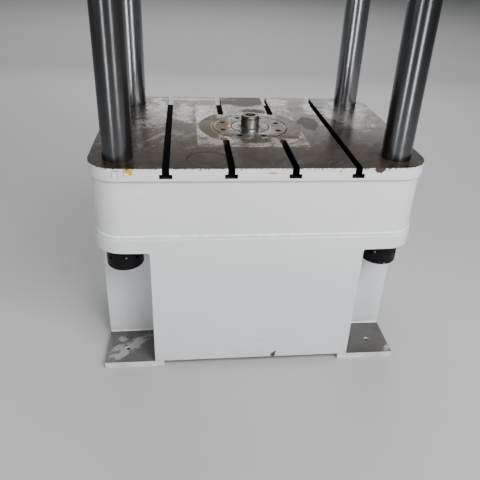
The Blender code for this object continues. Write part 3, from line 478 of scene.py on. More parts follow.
# Marks on the table's front edge, in mm: middle in X and Z, half sizes
PRIMER_CHIPS = ((461, 984, 24, 17), (398, 987, 6, 6), (501, 988, 5, 5), (-337, 988, 10, 3))
DRIPS = ((-576, 962, 1.6, 16), (-554, 960, 1.4, 20), (-532, 966, 1.6, 14), (-560, 978, 24, 1.8))
YELLOW_MARKS = ((-516, 980, 17, 10), (-506, 968, 9, 8), (34, 969, 18, 4), (301, 976, 5, 6))
CHIPPED_RIM = 2.6 * MM
CHIPPED_DEPTH = 13 * MM


def edge_paint_material(colours):
    """Paint on the table plate's edge, chipped in a ragged line under the bare top."""
    finish = Finish("chipped_edge_paint")
    x, z = finish.x, finish.z
    colour, roughness, normal = paint_fields(finish, colours)
    front = 1 - finish.step(finish.y, 15 * MM - BED_HALF_DEPTH, 25 * MM - BED_HALF_DEPTH)
    torn = finish.noise(75.0, 5.0, 0.7)
    ragged = (torn - 0.5) * 1.3
    drips = finish.spots(x, z, DRIPS, ragged * 0.4, 0.6) * front
    colour = finish.mix((drips * 1.4).lowest(0.95), colour, DRIP_BROWN)
    marks = finish.spots(x, z, YELLOW_MARKS, ragged, 0.07) * front
    colour = finish.mix((marks * 1.7).lowest(1.0), colour, colours.marker)
    bites = finish.step(finish.noise(72.0, 5.0, 0.75), 0.5, 0.7)
    line = bites * CHIPPED_DEPTH + torn * (2 * CHIPPED_RIM)
    bare = finish.step(z - TABLE_TOP + line, 0.0, 0.5 * MM)
    colour = finish.mix(bare, colour, BARE_EDGE)
    primed = finish.spots(x, z, PRIMER_CHIPS, ragged, 0.1) * front
    colour = finish.mix(primed, colour, colours.primer)
    chips = bare.highest(primed)
    roughness = roughness + chips * 0.2
    normal = finish.bump(1 - chips, 0.5 * MM, 0.6, normal)
    return finish.shader(colour, roughness, 0.0, normal, {"Coat Weight": 0.2})


# Marks on the table, in mm: middle in X and Y, half sizes
BRIGHT_PATCHES = (
    (-440, 190, 90, 260), (-300, 210, 60, 200), (510, 170, 130, 230), (560, 330, 130, 130),
    (190, 420, 80, 80), (350, 270, 50, 150), (-210, 450, 300, 30),
)
OLIVE_STAINS = ((20, -190, 60, 40), (160, -150, 50, 30), (45, 240, 70, 50))
AMBER_STAINS = ((-105, -118, 60, 20), (165, -106, 24, 16), (205, -258, 48, 18))
# Stains that hug the ring plate: inner and outer radius, least distance from the middle in X
OLIVE_CRESCENT = (178 * MM, 240 * MM, 125 * MM)
AMBER_CRESCENT = (98 * MM, 166 * MM, 90 * MM)
CRESCENT_FADE = 15 * MM
GLINT = (-98, 9, 11, 15)
BROWN_STAINS = (
    (290, 50, 55, 110), (0, 430, 160, 115), (480, -400, 170, 70), (-330, -420, 280, 60),
    (0, -400, 120, 70), (10, -130, 90, 35),
)
RUST_STAINS = ((-134, -176, 22, 24), (125, -184, 18, 16), (-125, 188, 16, 16))
CLEAN_SQUARE = ((-248 * MM, 232 * MM), (-272 * MM, 338 * MM))
CLEAN_STRIP = (-248 * MM, -160 * MM)
ARC_CENTRE = (-212 * MM, -415 * MM)
ARC_RADIUS = 84 * MM
ARC_HALF_WIDTH = 4 * MM
SEAMS = ((173 * MM, 3.4 * MM), (88 * MM, 2.8 * MM))


def crescent(finish, bounds, ragged):
    """1 in a ring's stretch that lies on its left side, and less on its right side."""
    inner, outer, least = bounds
    reach = finish.distance(finish.x, finish.y) + ragged * (13 * MM)
    across = abs(finish.x) - abs(finish.y - 30 * MM) * 0.15
    side = finish.step(across, least - CRESCENT_FADE, least + CRESCENT_FADE)
    mask = finish.inside(reach, inner, outer, 5 * MM) * side
    return mask * (1 - finish.step(finish.x, -MM, MM) * 0.35)


def circle_line(finish, centre, radius, half_width, unevenness):
    """1 on a thin circle around an upright axis."""
    reach = finish.distance(finish.x - centre[0], finish.y - centre[1]) + unevenness
    return finish.inside(reach, radius - half_width, radius + half_width, half_width / 2)


def table_material(colours):
    """Milled table steel, brown with oil, rubbed bright where work is slid about."""
    finish = Finish("oiled_table_steel")
    x, y, z = finish.x, finish.y, finish.z
    broad = finish.noise(3.0, 5.0, 0.6, distortion=0.6)
    middle = finish.noise(13.0, 6.0, 0.65, distortion=0.4)
    fine = finish.noise(85.0, 4.0, 0.6)
    grain = finish.noise(240.0, 3.0, 0.7)
    wipes = finish.drawn_noise((34.0, 5.0, 1.0), 5.0, 0.62, 0.65, 0.8)
    hairs = finish.drawn_noise((620.0, 14.0, 1.0), 3.0, 0.7, -0.4)
    milled = finish.drawn_noise((8.0, 480.0, 1.0), 2.0, 0.5)
    ragged = (middle - 0.5) * 2.2 + (fine - 0.5) * 0.7
    upper = finish.step(z, TABLE_TOP - 3 * MM, TABLE_TOP - MM)
    forward = 1 - finish.step(y + (broad - 0.5) * 0.3, -0.38, -0.1)
    veins = 1 - finish.step(abs(finish.noise(5.5, 4.0, 0.6, distortion=1.2) - 0.5), 0.002, 0.010)
    veins = veins * finish.step(broad, 0.42, 0.52)

    bright = finish.spots(x, y, BRIGHT_PATCHES, ragged, 0.5) * (0.35 + wipes * 0.9)
    bright = bright.highest(finish.step(broad + wipes * 0.5, 0.78, 1.0) * 0.35)
    across = finish.inside(x + (middle - 0.5) * (6 * MM), *CLEAN_SQUARE[0], 2 * MM)
    square = across * finish.inside(y + (middle - 0.5) * (8 * MM), *CLEAN_SQUARE[1], 2 * MM)
    strip = finish.inside(x, *CLEAN_STRIP, 18 * MM) * square * finish.step(y, -0.2, 0.05)
    rubbed = finish.step(middle + (wipes - 0.5) * 0.4, 0.38, 0.62)
    bright = (bright * (1 - square) + square * (0.15 + rubbed * 0.5) + strip * 0.5).lowest(1.0)
    colour = finish.mix(bright, colours.oiled_steel, colours.rubbed_steel)
    colour = finish.mix(finish.step(wipes, 0.5, 0.72) * 0.2, colour, WIPED_STEEL)
    colour = finish.mix(finish.step(middle, 0.54, 0.72) * 0.55, colour, BROWN_FILM)
    colour = finish.mix(finish.step(fine, 0.42, 0.66) * 0.4, colour, DARK_FILM)
    colour = finish.mix(finish.step(grain, 0.54, 0.72) * 0.35, colour, BRIGHT_GRAIN)
    colour = finish.mix((1 - finish.step(grain, 0.28, 0.46)) * 0.5, colour, DARK_GRAIN)
    olive = finish.spots(x, y, OLIVE_STAINS, ragged * 0.8)
    olive = olive.highest(crescent(finish, OLIVE_CRESCENT, ragged))
    amber = finish.spots(x, y, AMBER_STAINS, ragged)
    amber = amber.highest(crescent(finish, AMBER_CRESCENT, ragged))
    amber = amber * finish.step(middle + fine * 0.5, 0.52, 0.76)
    brown = finish.spots(x, y, BROWN_STAINS, ragged * 0.7)
    rust = finish.spots(x, y, RUST_STAINS, ragged * 0.5)
    glint = finish.spot(x, y, GLINT, ragged * 0.3)
    colour = finish.mix(glint, colour, GLINT_WHITE)
    specks = 1 - finish.step(finish.cells(46.0), 0.06, 0.13)
    specks = specks * finish.step(broad, 0.45, 0.55)
    pits = finish.step(fine + (grain - 0.5) * 0.3, 0.53, 0.64) * square
    arc_line = circle_line(finish, ARC_CENTRE, ARC_RADIUS, ARC_HALF_WIDTH, (middle - 0.5) * (8 * MM))
    arc_line = arc_line * (0.35 + finish.step(y, ARC_CENTRE[1], ARC_CENTRE[1] + 0.03) * 0.6) * upper
    mouth = 1 - finish.step(y, -BED_HALF_DEPTH, 22 * MM - BED_HALF_DEPTH)
    # Painted shade: black inside the slots and holes under the top, less at the slots' mouths on the
    # front edge and where rust is.
    black = (1 - finish.step(z, TABLE_TOP - 5 * MM, TABLE_TOP - 0.8 * MM))
    black = black * (1 - rust * 0.5) * (1 - mouth * 0.45)
    for radius, half_width in SEAMS:
        seam = circle_line(finish, (0.0, 0.0), radius, half_width, (fine - 0.5) * MM) * upper
        black = black.highest(seam)
    black = black.highest(arc_line * 0.8)

    # Soil: brown film, heavier towards the front and the left, olive and amber oil, rust, black in the
    # seams, and painted black shade inside the slots and holes
    blotch = finish.noise(26.0, 5.0, 0.7, distortion=0.8)
    soil_and_slot_shade = finish.mix(finish.step(middle, 0.4, 0.65), THICK_SOIL, THIN_SOIL)
    soil_and_slot_shade = finish.mix(finish.step(blotch, 0.5, 0.66) * 0.7, soil_and_slot_shade, BLOTCH_SOIL)
    soil_and_slot_shade = finish.mix(olive, soil_and_slot_shade, colours.oil)
    soil_and_slot_shade = finish.mix(amber, soil_and_slot_shade, colours.amber)
    soil_and_slot_shade = finish.mix(rust, soil_and_slot_shade, colours.rust)
    soil_and_slot_shade = finish.mix(black, soil_and_slot_shade, SLOT_SHADE_AND_SEAM_BLACK)
    left = 1 - finish.step(x + y * 0.5 + (broad - 0.5) * 0.3, -0.42, -0.22)
    film = (1 - square) * (0.15 + forward.highest(left * 0.8) * 0.6)
    scratches = finish.step(hairs, 0.56, 0.66).highest(finish.step(wipes + grain * 0.2, 0.66, 0.78))
    film = film * finish.step(middle + fine * 0.4, 0.42, 0.76) * (1 - scratches * 0.6)
    film = film.highest(finish.step(blotch, 0.56, 0.68) * (1 - square) * 0.6)
    cover = (olive * (0.5 + middle * 0.8)).highest(amber * 0.9).highest(brown * 0.8).highest(film)
    cover = cover.highest(rust * 0.9).highest(specks * 0.8).highest(pits * 0.75).highest(veins * 0.7)
    cover = cover.highest(black).lowest(1.0)

    roughness = 0.14 + middle * 0.14 + bright * 0.1 + forward * 0.03
    scratched = finish.bump(hairs + milled * 0.7 + grain, 0.06 * MM, 0.4)
    normal = finish.bump(middle + wipes + fine * 0.2, 0.35 * MM, 0.25, scratched)
    steel = finish.surface(colour, roughness, 1.0, normal)
    dirt_and_shade = finish.surface(soil_and_slot_shade, 0.45 + fine * 0.2 + black * 0.45, 0.0, normal, DULL)
    return finish.covered(cover, steel, dirt_and_shade)


# Smears of paint on the foot plates, in mm along and across the strokes: middle, half sizes
STROKE_TURN = math.radians(40)
PAINT_SMEARS = (
    (-690, 60, 125, 27), (-735, 92, 50, 18), (-745, 45, 66, 22), (-640, 70, 46, 24),
    (-690, 130, 24, 22), (205, -790, 30, 16),
)
FOOT_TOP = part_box("foot_plate_front_left")[1].z


def foot_material(colours):
    """Bare flame-cut feet with strokes of paint, white in the lip of the hole and painted black shadow
    deeper in it.
    """
    finish = Finish("bare_foot_steel")
    broad = finish.noise(7.0, 5.0, 0.6)
    fine = finish.noise(60.0, 5.0, 0.65)
    turned_place = finish.stretched((1.0, 1.0, 1.0), -STROKE_TURN)
    along = finish.along("X", turned_place)
    across = finish.along("Y", turned_place)
    strokes = finish.drawn_noise((14.0, 170.0, 1.0), 4.0, 0.65, -STROKE_TURN)
    colour = finish.mix(finish.step(broad, 0.35, 0.7), colours.foot_steel, FOOT_SCALE)
    colour = finish.mix(finish.step(fine, 0.5, 0.75) * 0.45, colour, FOOT_GLEAM)
    pitted = finish.step(finish.noise(190.0, 3.0), 0.52, 0.64)
    colour = finish.mix(pitted * 0.6, colour, FOOT_PIT)
    ragged = (strokes - 0.5) * 3.0 + (finish.noise(34.0, 4.0, 0.65) - 0.5) * 2.4
    smear = finish.spots(along, across, PAINT_SMEARS, ragged, 0.35)
    colour = finish.mix(finish.step(finish.x, 0.2, 0.4) * 0.35, colour, FOOT_SHADE)
    colour = finish.mix(smear * 0.45, colour, SMEARED_PAINT)
    bore = 1 - finish.step(finish.z, FOOT_TOP - 2 * MM, FOOT_TOP - MM)
    colour = finish.mix(bore, colour, colours.shaded_paint)
    # Painted shadow: the lower half of the hole's bore black.
    bore_shadow = 1 - finish.step(finish.z, FOOT_TOP / 2, 0.7 * FOOT_TOP)
    colour = finish.mix(bore_shadow, colour, BORE_SHADOW_BLACK)
    roughness = 0.5 + fine * 0.2 - smear * 0.08
    metallic = ((0.6 - smear * 0.6) * (1 - bore)).highest(0.0)
    return finish.shader(colour, roughness, metallic, finish.bump(fine + smear * 0.5, 0.3 * MM, 0.4))


def ground_material(colours):
    """Ground columns and rods, with fine marks along them and faint smudges, darker on the front and
    darkest on the front left: a painted reflection.
    """
    finish = Finish("ground_and_polished_steel")
    marks = finish.drawn_noise((3.0, 3.0, 900.0), 2.0, 0.5)
    streaks = finish.drawn_noise((150.0, 150.0, 0.8), 4.0, 0.6)
    smudge = finish.noise(11.0, 5.0, 0.6)
    oiled_tone_and_shade = tuple(0.5 * c for c in colours.ground_steel)
    # Painted reflection: the steel darker on the front half, as if it mirrored dark surroundings.
    front = 1 - finish.step(finish.y + (smudge - 0.5) * 0.2, -0.1, 0.1)
    colour = finish.mix(finish.step(streaks, 0.4, 0.65) * 0.8, colours.ground_steel, oiled_tone_and_shade)
    colour = finish.mix(front * 0.82, colour, tuple(0.6 * c for c in oiled_tone_and_shade))
    colour = finish.mix(finish.step(smudge, 0.52, 0.72) * 0.4, colour, COLUMN_SMUDGE)
    roughness = 0.16 + smudge * 0.06 + streaks * 0.12
    normal = finish.bump(marks, 0.06 * MM, 0.4)
    steel = finish.surface(colour, roughness, 1.0, normal)
    film = finish.surface(COLUMN_DARK_REFLECTION, 0.5, 0.0, normal, DULL)
    # Painted reflection: a dull dark cover over the front left, uneven with the smudges.
    cover = front * (1 - finish.step(finish.x, -0.1, 0.1)) * (0.2 + smudge * 0.3)
    return finish.covered(cover, steel, film)


ROD_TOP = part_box("ejector_rod")[1].z


def rod_material(colours):
    """The ejector rod: bright along its middle, darker on both sides as a painted reflection, and with a
    brown end.
    """
    finish = Finish("ejector_rod_steel")
    rings = finish.drawn_noise((4.0, 4.0, 700.0), 3.0, 0.6)
    streaks = finish.drawn_noise((240.0, 240.0, 5.0), 4.0, 0.7)
    film = finish.noise(38.0, 5.0, 0.65)
    colour = finish.mix(finish.step(streaks, 0.4, 0.7) * 0.7, colours.rod_steel, ROD_STREAK)
    # Painted reflection: the rod darker on both sides of its bright middle.
    side = finish.x + (film - 0.5) * (12 * MM)
    painted_flank_shade = (1 - finish.step(side, -22 * MM, -8 * MM)).highest(finish.step(side, 30 * MM, 37 * MM))
    colour = finish.mix(painted_flank_shade * 0.85, colour, ROD_FLANK_SHADE)
    band = finish.step(finish.z, ROD_TOP - 22 * MM, ROD_TOP - 15 * MM)
    colour = finish.mix(band * (0.25 + film * 0.5), colour, ROD_BAND)
    end = finish.step(finish.z, ROD_TOP - 4 * MM, ROD_TOP - 2 * MM)
    colour = finish.mix(end * (0.4 + film * 0.7), colour, ROD_END)
    # Painted shade: the recess in the rod's end near black.
    recess = 1 - finish.step(finish.distance(finish.x, finish.y), 23.2 * MM, 24.2 * MM)
    colour = finish.mix(recess * 0.93, colour, ROD_RECESS_SHADE)
    roughness = 0.27 + film * 0.15 + recess * 0.3
    return finish.shader(colour, roughness, 1.0, finish.bump(rings, 0.3 * MM, 0.8))


def turned_material(colours):
    finish = Finish("bright_turned_steel")
    marks = finish.drawn_noise((6.0, 6.0, 700.0), 3.0, 0.6)
    stain = finish.noise(16.0, 5.0, 0.6)
    colour = finish.mix(finish.step(stain, 0.45, 0.75) * 0.5, colours.turned_steel, TURNED_STAIN)
    roughness = 0.3 + stain * 0.2
    return finish.shader(colour, roughness, 0.95, finish.bump(marks, 0.08 * MM, 0.4))


def black_material(colours):
    finish = Finish("oiled_black_steel")
    film = finish.noise(26.0, 5.0, 0.6)
    worn = finish.step(film, 0.6, 0.78)
    colour = finish.mix(worn * 0.4, colours.black_steel, WORN_BLACK)
    roughness = 0.32 + film * 0.25
    return finish.shader(
        colour, roughness, 0.2, finish.bump(film, 0.2 * MM, 0.3), BLACK_SHEEN)


def bronze_material(colours):
    finish = Finish("cast_bronze")
    film = finish.noise(20.0, 5.0, 0.6)
    marks = finish.drawn_noise((4.0, 4.0, 600.0), 2.0, 0.5)
    colour = finish.mix(finish.step(film, 0.45, 0.7) * 0.6, colours.bronze, BRONZE_FILM)
    return finish.shader(colour, 0.25 + film * 0.25, 0.95, finish.bump(marks, 0.06 * MM, 0.4))


def rubber_material(colours):
    finish = Finish("seal_rubber")
    grain = finish.noise(140.0, 3.0, 0.6)
    colour = finish.mix(grain, colours.warning_black, RUBBER_BLOOM)
    return finish.shader(colour, 0.5 + grain * 0.2, 0.0, finish.bump(grain, 0.1 * MM, 0.4))


def plastic_material(colours):
    finish = Finish("switch_plastic")
    grain = finish.noise(260.0, 2.0, 0.5)
    dust = finish.step(finish.noise(14.0, 5.0, 0.6), 0.5, 0.75)
    colour = finish.mix(dust * 0.35, SWITCH_GREY, SWITCH_DUST)
    return finish.shader(colour, 0.42 + dust * 0.2, 0.0, finish.bump(grain, 0.08 * MM, 0.5))


STRIPE_PITCH = 150 * MM
STRIPE_SLOPE = 1.0


def warning_material(colours):
    """Orange and black stripes that slant across the slide's lower edge."""
    finish = Finish("warning_stripes")
    wear = finish.noise(38.0, 5.0, 0.65)
    slant = finish.x + finish.y + (finish.z - SLIDE_FACE) * STRIPE_SLOPE + (wear - 0.5) * (1.5 * MM)
    share = slant.remainder(STRIPE_PITCH) / STRIPE_PITCH
    dark = finish.inside(share, 0.0, 0.5, 0.006)
    colour = finish.mix(dark, colours.warning_orange, colours.warning_black)
    chips = finish.step(wear, 0.66, 0.7)
    colour = finish.mix(chips * 0.8, colour, colours.paint)
    return finish.shader(
        colour, 0.38 + wear * 0.2, 0.0, finish.bump(finish.noise(PEEL_SCALE, 2.0), PEEL_HEIGHT, 0.35))


def floor_material(stage):
    finish = Finish("pale_floor")
    cloud = finish.noise(0.8, 4.0, 0.5)
    colour = finish.mix(cloud * 0.25, stage.floor, tuple(0.92 * c for c in stage.floor))
    return finish.shader(colour, 0.6 + cloud * 0.1, 0.0)


MATERIAL_MAKERS = {
    "paint": paint_material,
    "edge_paint": edge_paint_material,
    "bead_paint": bead_material,
    "table_steel": table_material,
    "foot_steel": foot_material,
    "ground_steel": ground_material,
    "rod_steel": rod_material,
    "turned_steel": turned_material,
    "black_steel": black_material,
    "bronze": bronze_material,
    "rubber": rubber_material,
    "plastic": plastic_material,
    "warning": warning_material,
}
made_materials = {}


def material(name):
    """The material of that finish, made once."""
    if name not in made_materials:
        made_materials[name] = MATERIAL_MAKERS[name](bpy.context.scene.press_finish)
    return made_materials[name]


# Geometry trees

class Growth(Graph):
    """A geometry tree with named inputs."""

    def __init__(self, name, inputs):
        super().__init__(bpy.data.node_groups.new(name, "GeometryNodeTree"))
        sockets = {"Geometry": "Geometry", **inputs, "Material": "Material"}
        for label, kind in sockets.items():
            self.tree.interface.new_socket(
                label, in_out="INPUT", socket_type=f"NodeSocket{kind}")
        self.tree.interface.new_socket(
            "Geometry", in_out="OUTPUT", socket_type="NodeSocketGeometry")
        self.group = self.tree.nodes.new("NodeGroupInput")

    def named(self, label):
        return Field(self, self.group.outputs[label])

    def raised(self, geometry, height):
        """Move geometry along +Z."""
        lift = self.node("ShaderNodeCombineXYZ", inputs={"Z": height})
        return self.node("GeometryNodeTransform", inputs={
            "Geometry": geometry, "Translation": lift})

    def end(self, geometry):
        """Make the instances real and give them the material."""
        real = self.node("GeometryNodeRealizeInstances", inputs={"Geometry": geometry})
        finished = self.node("GeometryNodeSetMaterial", inputs={
            "Geometry": real, "Material": self.named("Material")})
        self.node("NodeGroupOutput", inputs={"Geometry": finished})
        return self.tree


BEAD_SIDES = 8
BEAD_STEPS = 3
RIPPLE_SHARE = 0.45
LUMP_SCALE = 24.0
LUMP_DETAIL = 2.0
BEAD_SIZE = "bead_size"


def bead_tree():
    """Weld beads along the incoming edges, with ripples in their thickness."""
    tree = Growth("weld_beads", {"Radius": "Float", "Ripple": "Float", "Unevenness": "Float"})
    curve = tree.node("GeometryNodeMeshToCurve", inputs={"Mesh": tree.named("Geometry")})
    curve = tree.node("GeometryNodeResampleCurve", {"mode": "LENGTH"}, {
        "Curve": curve, "Length": tree.named("Ripple") / BEAD_STEPS})
    length = tree.node("GeometryNodeSplineParameter", output="Length")
    ripple = abs((length * math.pi / tree.named("Ripple")).wave())
    lumps = tree.node("ShaderNodeTexNoise", inputs={"Scale": LUMP_SCALE, "Detail": LUMP_DETAIL})
    share = 1 - tree.named("Unevenness") * (1 - ripple * RIPPLE_SHARE - lumps)
    size = tree.node(
        "GeometryNodeInputNamedAttribute", {"data_type": "FLOAT"}, {"Name": BEAD_SIZE},
        output="Attribute")
    outline = tree.node("GeometryNodeCurvePrimitiveCircle", {"mode": "RADIUS"}, {
        "Resolution": BEAD_SIDES, "Radius": 1.0})
    beads = tree.node("GeometryNodeCurveToMesh", inputs={
        "Curve": curve, "Profile Curve": outline, "Fill Caps": True,
        "Scale": tree.named("Radius") * share * size})
    return tree.end(beads)


HEAD_SIDES = 28
SOCKET_SIDES = 6
SPIN_SEED = 7
HEAD_INPUTS = {
    "Count": "Int", "Head Radius": "Float", "Head Height": "Float", "Socket Radius": "Float",
    "Place": "Vector", "Turn": "Vector",
}
RIM_SHARE = 0.14
RIM_RADIUS_SHARE = 0.9


def screw_head(tree):
    """A socket head whose seat lies at the origin and whose top faces +Z."""
    radius = tree.named("Head Radius")
    height = tree.named("Head Height")
    straight = height * (1 - RIM_SHARE)
    barrel = tree.node("GeometryNodeMeshCylinder", inputs={
        "Vertices": HEAD_SIDES, "Radius": radius, "Depth": straight})
    barrel = tree.raised(barrel, straight / 2)
    rim = tree.node("GeometryNodeMeshCone", inputs={
        "Vertices": HEAD_SIDES, "Radius Bottom": radius,
        "Radius Top": radius * RIM_RADIUS_SHARE, "Depth": height * RIM_SHARE})
    rim = tree.raised(rim, straight)
    whole = tree.node(
        "GeometryNodeMeshBoolean", {"operation": "UNION", "solver": "EXACT"},
        {"Mesh 2": [barrel, rim]})
    socket = tree.node("GeometryNodeMeshCylinder", inputs={
        "Vertices": SOCKET_SIDES, "Radius": tree.named("Socket Radius"), "Depth": height})
    socket = tree.raised(socket, height)
    return tree.node(
        "GeometryNodeMeshBoolean", {"operation": "DIFFERENCE", "solver": "EXACT"},
        {"Mesh 1": whole, "Mesh 2": [socket]})


def end_with_screws(tree, points):
    """Put a head on each point, face the set its way and join it to what came in."""
    spin = tree.node("FunctionNodeRandomValue", {"data_type": "FLOAT"}, {
        "Min": 0.0, "Max": math.tau, "Seed": SPIN_SEED}, output="Value")
    turned_by = tree.node("ShaderNodeCombineXYZ", inputs={"Z": spin})
    screws = tree.node("GeometryNodeInstanceOnPoints", inputs={
        "Points": points, "Instance": screw_head(tree), "Rotation": turned_by})
    placed = tree.node("GeometryNodeTransform", inputs={
        "Geometry": screws, "Translation": tree.named("Place"), "Rotation": tree.named("Turn")})
    joined = tree.node("GeometryNodeJoinGeometry", inputs={
        "Geometry": [tree.named("Geometry"), placed]})
    return tree.end(joined)


def screw_ring_tree():
    tree = Growth("screw_ring", {**HEAD_INPUTS, "Circle Radius": "Float", "First Angle": "Float"})
    circle = tree.node("GeometryNodeMeshCircle", inputs={
        "Vertices": tree.named("Count"), "Radius": tree.named("Circle Radius")})
    start = tree.node("ShaderNodeCombineXYZ", inputs={"Z": tree.named("First Angle")})
    circle = tree.node("GeometryNodeTransform", inputs={"Geometry": circle, "Rotation": start})
    return end_with_screws(tree, circle)


def screw_row_tree():
    tree = Growth("screw_row", {**HEAD_INPUTS, "Pitch": "Float"})
    pitch = tree.named("Pitch")
    first = (1 - tree.named("Count")) * pitch / 2
    line = tree.node("GeometryNodeMeshLine", {"mode": "OFFSET"}, {
        "Count": tree.named("Count"),
        "Start Location": tree.node("ShaderNodeCombineXYZ", inputs={"X": first}),
        "Offset": tree.node("ShaderNodeCombineXYZ", inputs={"X": pitch})})
    return end_with_screws(tree, line)


TREE_MAKERS = {"beads": bead_tree, "ring": screw_ring_tree, "row": screw_row_tree}
made_trees = {}


def grow(item, kind, values):
    """Run a tree on an object; its inputs are set before its first evaluation."""
    if kind not in made_trees:
        made_trees[kind] = TREE_MAKERS[kind]()
    tree = made_trees[kind]
    modifier = item.modifiers.new(kind, "NODES")
    modifier.node_group = tree
    for socket in tree.interface.items_tree:
        if socket.in_out == "INPUT" and socket.name in values:
            modifier[socket.identifier] = values[socket.name]


def grown(item):
    """The mesh that an object's trees make."""
    graph = bpy.context.evaluated_depsgraph_get()
    mesh = bpy.data.meshes.new_from_object(item.evaluated_get(graph))
    remove_objects(item)
    return mesh


# Outlines

# T-slots across the table, in pitches from its middle
SLOT_PLACES = (-1.5, -0.5, 0.5, 1.5)


def middle_of(node):
    """The middle of a node's box."""
    low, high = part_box(node)
    return (low + high) / 2


def arc(centre, radius, start, end, steps):
    angles = [start + (end - start) * step / steps for step in range(steps + 1)]
    return [
        (centre[0] + radius * math.cos(angle), centre[1] + radius * math.sin(angle))
        for angle in angles
    ]


def circle(centre, radius, sides):
    return arc(centre, radius, 0, math.tau * (1 - 1 / sides), sides - 1)


def rounded_rectangle(half_width, half_depth, radius, steps):
    quarter = math.pi / 2
    outline = []
    for turn, (side, end) in enumerate(((1, 1), (-1, 1), (-1, -1), (1, -1))):
        centre = (side * (half_width - radius), end * (half_depth - radius))
        outline += arc(centre, radius, turn * quarter, (turn + 1) * quarter, steps)
    return outline


def plan_of(node, inset=0.0):
    """A round-cornered node's plan outline, moved in by an inset."""
    shape = bpy.context.scene.press_shape
    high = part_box(node)[1]
    radius = shape.corner_radius - (BED_HALF_DEPTH - high.y) - inset
    return rounded_rectangle(high.x - inset, high.y - inset, radius, shape.corner_steps)


def slot_outline(x, half_width, inner_y, outer_y, steps):
    """A slot that ends round at inner_y and runs out past outer_y."""
    end = math.copysign(1, outer_y - inner_y)
    mouth = outer_y + end * OVERRUN
    bend = arc((x, inner_y + end * half_width), half_width, 0, -end * math.pi, steps)
    return [(x + half_width, mouth), *bend, (x - half_width, mouth)]


def slot_plans(half_width, half_depth, ring_radius):
    """Plan outlines of four slots; the middle two stop short of the ring if there is one."""
    shape = bpy.context.scene.press_shape
    plans = []
    for place in SLOT_PLACES:
        x = place * shape.slot_pitch
        if abs(x) < ring_radius:
            round_end = ring_radius + shape.slot_from_ring + shape.slot_width / 2 - half_width
            for end in ENDS.values():
                plans.append(slot_outline(
                    x, half_width, end * round_end, end * half_depth, shape.corner_steps))
        else:
            reach = half_depth + OVERRUN
            plans.append([
                (x - half_width, -reach), (x + half_width, -reach),
                (x + half_width, reach), (x - half_width, reach)])
    return plans


# Meshes

ROUNDING_STEPS = 2
ROUND_PROFILE = 0.5
ROUNDING_SHARE = 0.4
PIN_SIDES = 24


def add_prism(bm, outline, low, high):
    base = [bm.verts.new((x, y, low)) for x, y in outline]
    far = [bm.verts.new((x, y, high)) for x, y in outline]
    bm.faces.new(base)
    bm.faces.new(far)
    loops = [bm.edges.get((ring[i - 1], ring[i])) for ring in (base, far) for i in range(len(ring))]
    bmesh.ops.bridge_loops(bm, edges=loops)


def add_drill(bm, centre, radius, low, high, sides):
    add_prism(bm, circle(centre, radius, sides), low, high)


def stacked(levels, hollow=False):
    """A body through like outlines, each with its height: capped, or closed on itself."""
    bm = bmesh.new()
    rings = [[bm.verts.new((x, y, height)) for x, y in outline] for outline, height in levels]
    for near, far in zip(rings, rings[1:] + rings[:1] if hollow else rings[1:]):
        for i in range(len(near)):
            bm.faces.new((near[i - 1], near[i], far[i], far[i - 1]))
    if not hollow:
        bm.faces.new(rings[0])
        bm.faces.new(rings[-1])
    return bm


def mesh_from(name, bm):
    bmesh.ops.recalc_face_normals(bm, faces=bm.faces)
    mesh = bpy.data.meshes.new(name)
    bm.to_mesh(mesh)
    bm.free()
    return mesh


def remove_objects(*objects):
    for item in objects:
        bpy.data.objects.remove(item, do_unlink=True)


def place_object(name, mesh):
    item = bpy.data.objects.new(name, mesh)
    bpy.context.scene.collection.objects.link(item)
    return item


def carve(mesh, *cutters):
    """Take closed cutters out of a mesh."""
    carved = place_object("carved", mesh)
    tools = [place_object("cutter", cutter) for cutter in cutters]
    for tool in tools:
        modifier = carved.modifiers.new("cut", "BOOLEAN")
        modifier.operation = "DIFFERENCE"
        modifier.solver = "EXACT"
        modifier.object = tool
    graph = bpy.context.evaluated_depsgraph_get()
    result = bpy.data.meshes.new_from_object(carved.evaluated_get(graph))
    remove_objects(carved, *tools)
    return result


def soften(bm, width, sharp=None):
    """Round a mesh's edges, apart from those whose middle the test sharp picks."""
    bmesh.ops.remove_doubles(bm, verts=bm.verts, dist=MERGE_DISTANCE)
    bmesh.ops.dissolve_limit(bm, angle_limit=FLAT_ANGLE, verts=bm.verts, edges=bm.edges)
    picked = []
    for edge in bm.edges:
        if len(edge.link_faces) != 2 or edge.calc_face_angle() < CORNER_ANGLE:
            continue
        if sharp is not None and sharp((edge.verts[0].co + edge.verts[1].co) / 2):
            continue
        picked.append(edge)
    bmesh.ops.bevel(
        bm, geom=picked, offset=width, segments=ROUNDING_STEPS, profile=ROUND_PROFILE,
        affect="EDGES", clamp_overlap=True)


def softened(mesh, width, sharp=None):
    bm = bmesh.new()
    bm.from_mesh(mesh)
    soften(bm, width, sharp)
    return mesh_from(mesh.name, bm)


def node_copy(node):
    """A merged copy of a node's mesh."""
    bm = bmesh.new()
    bm.from_mesh(frame["nodes"][node].data)
    bmesh.ops.remove_doubles(bm, verts=bm.verts, dist=MERGE_DISTANCE)
    return bm


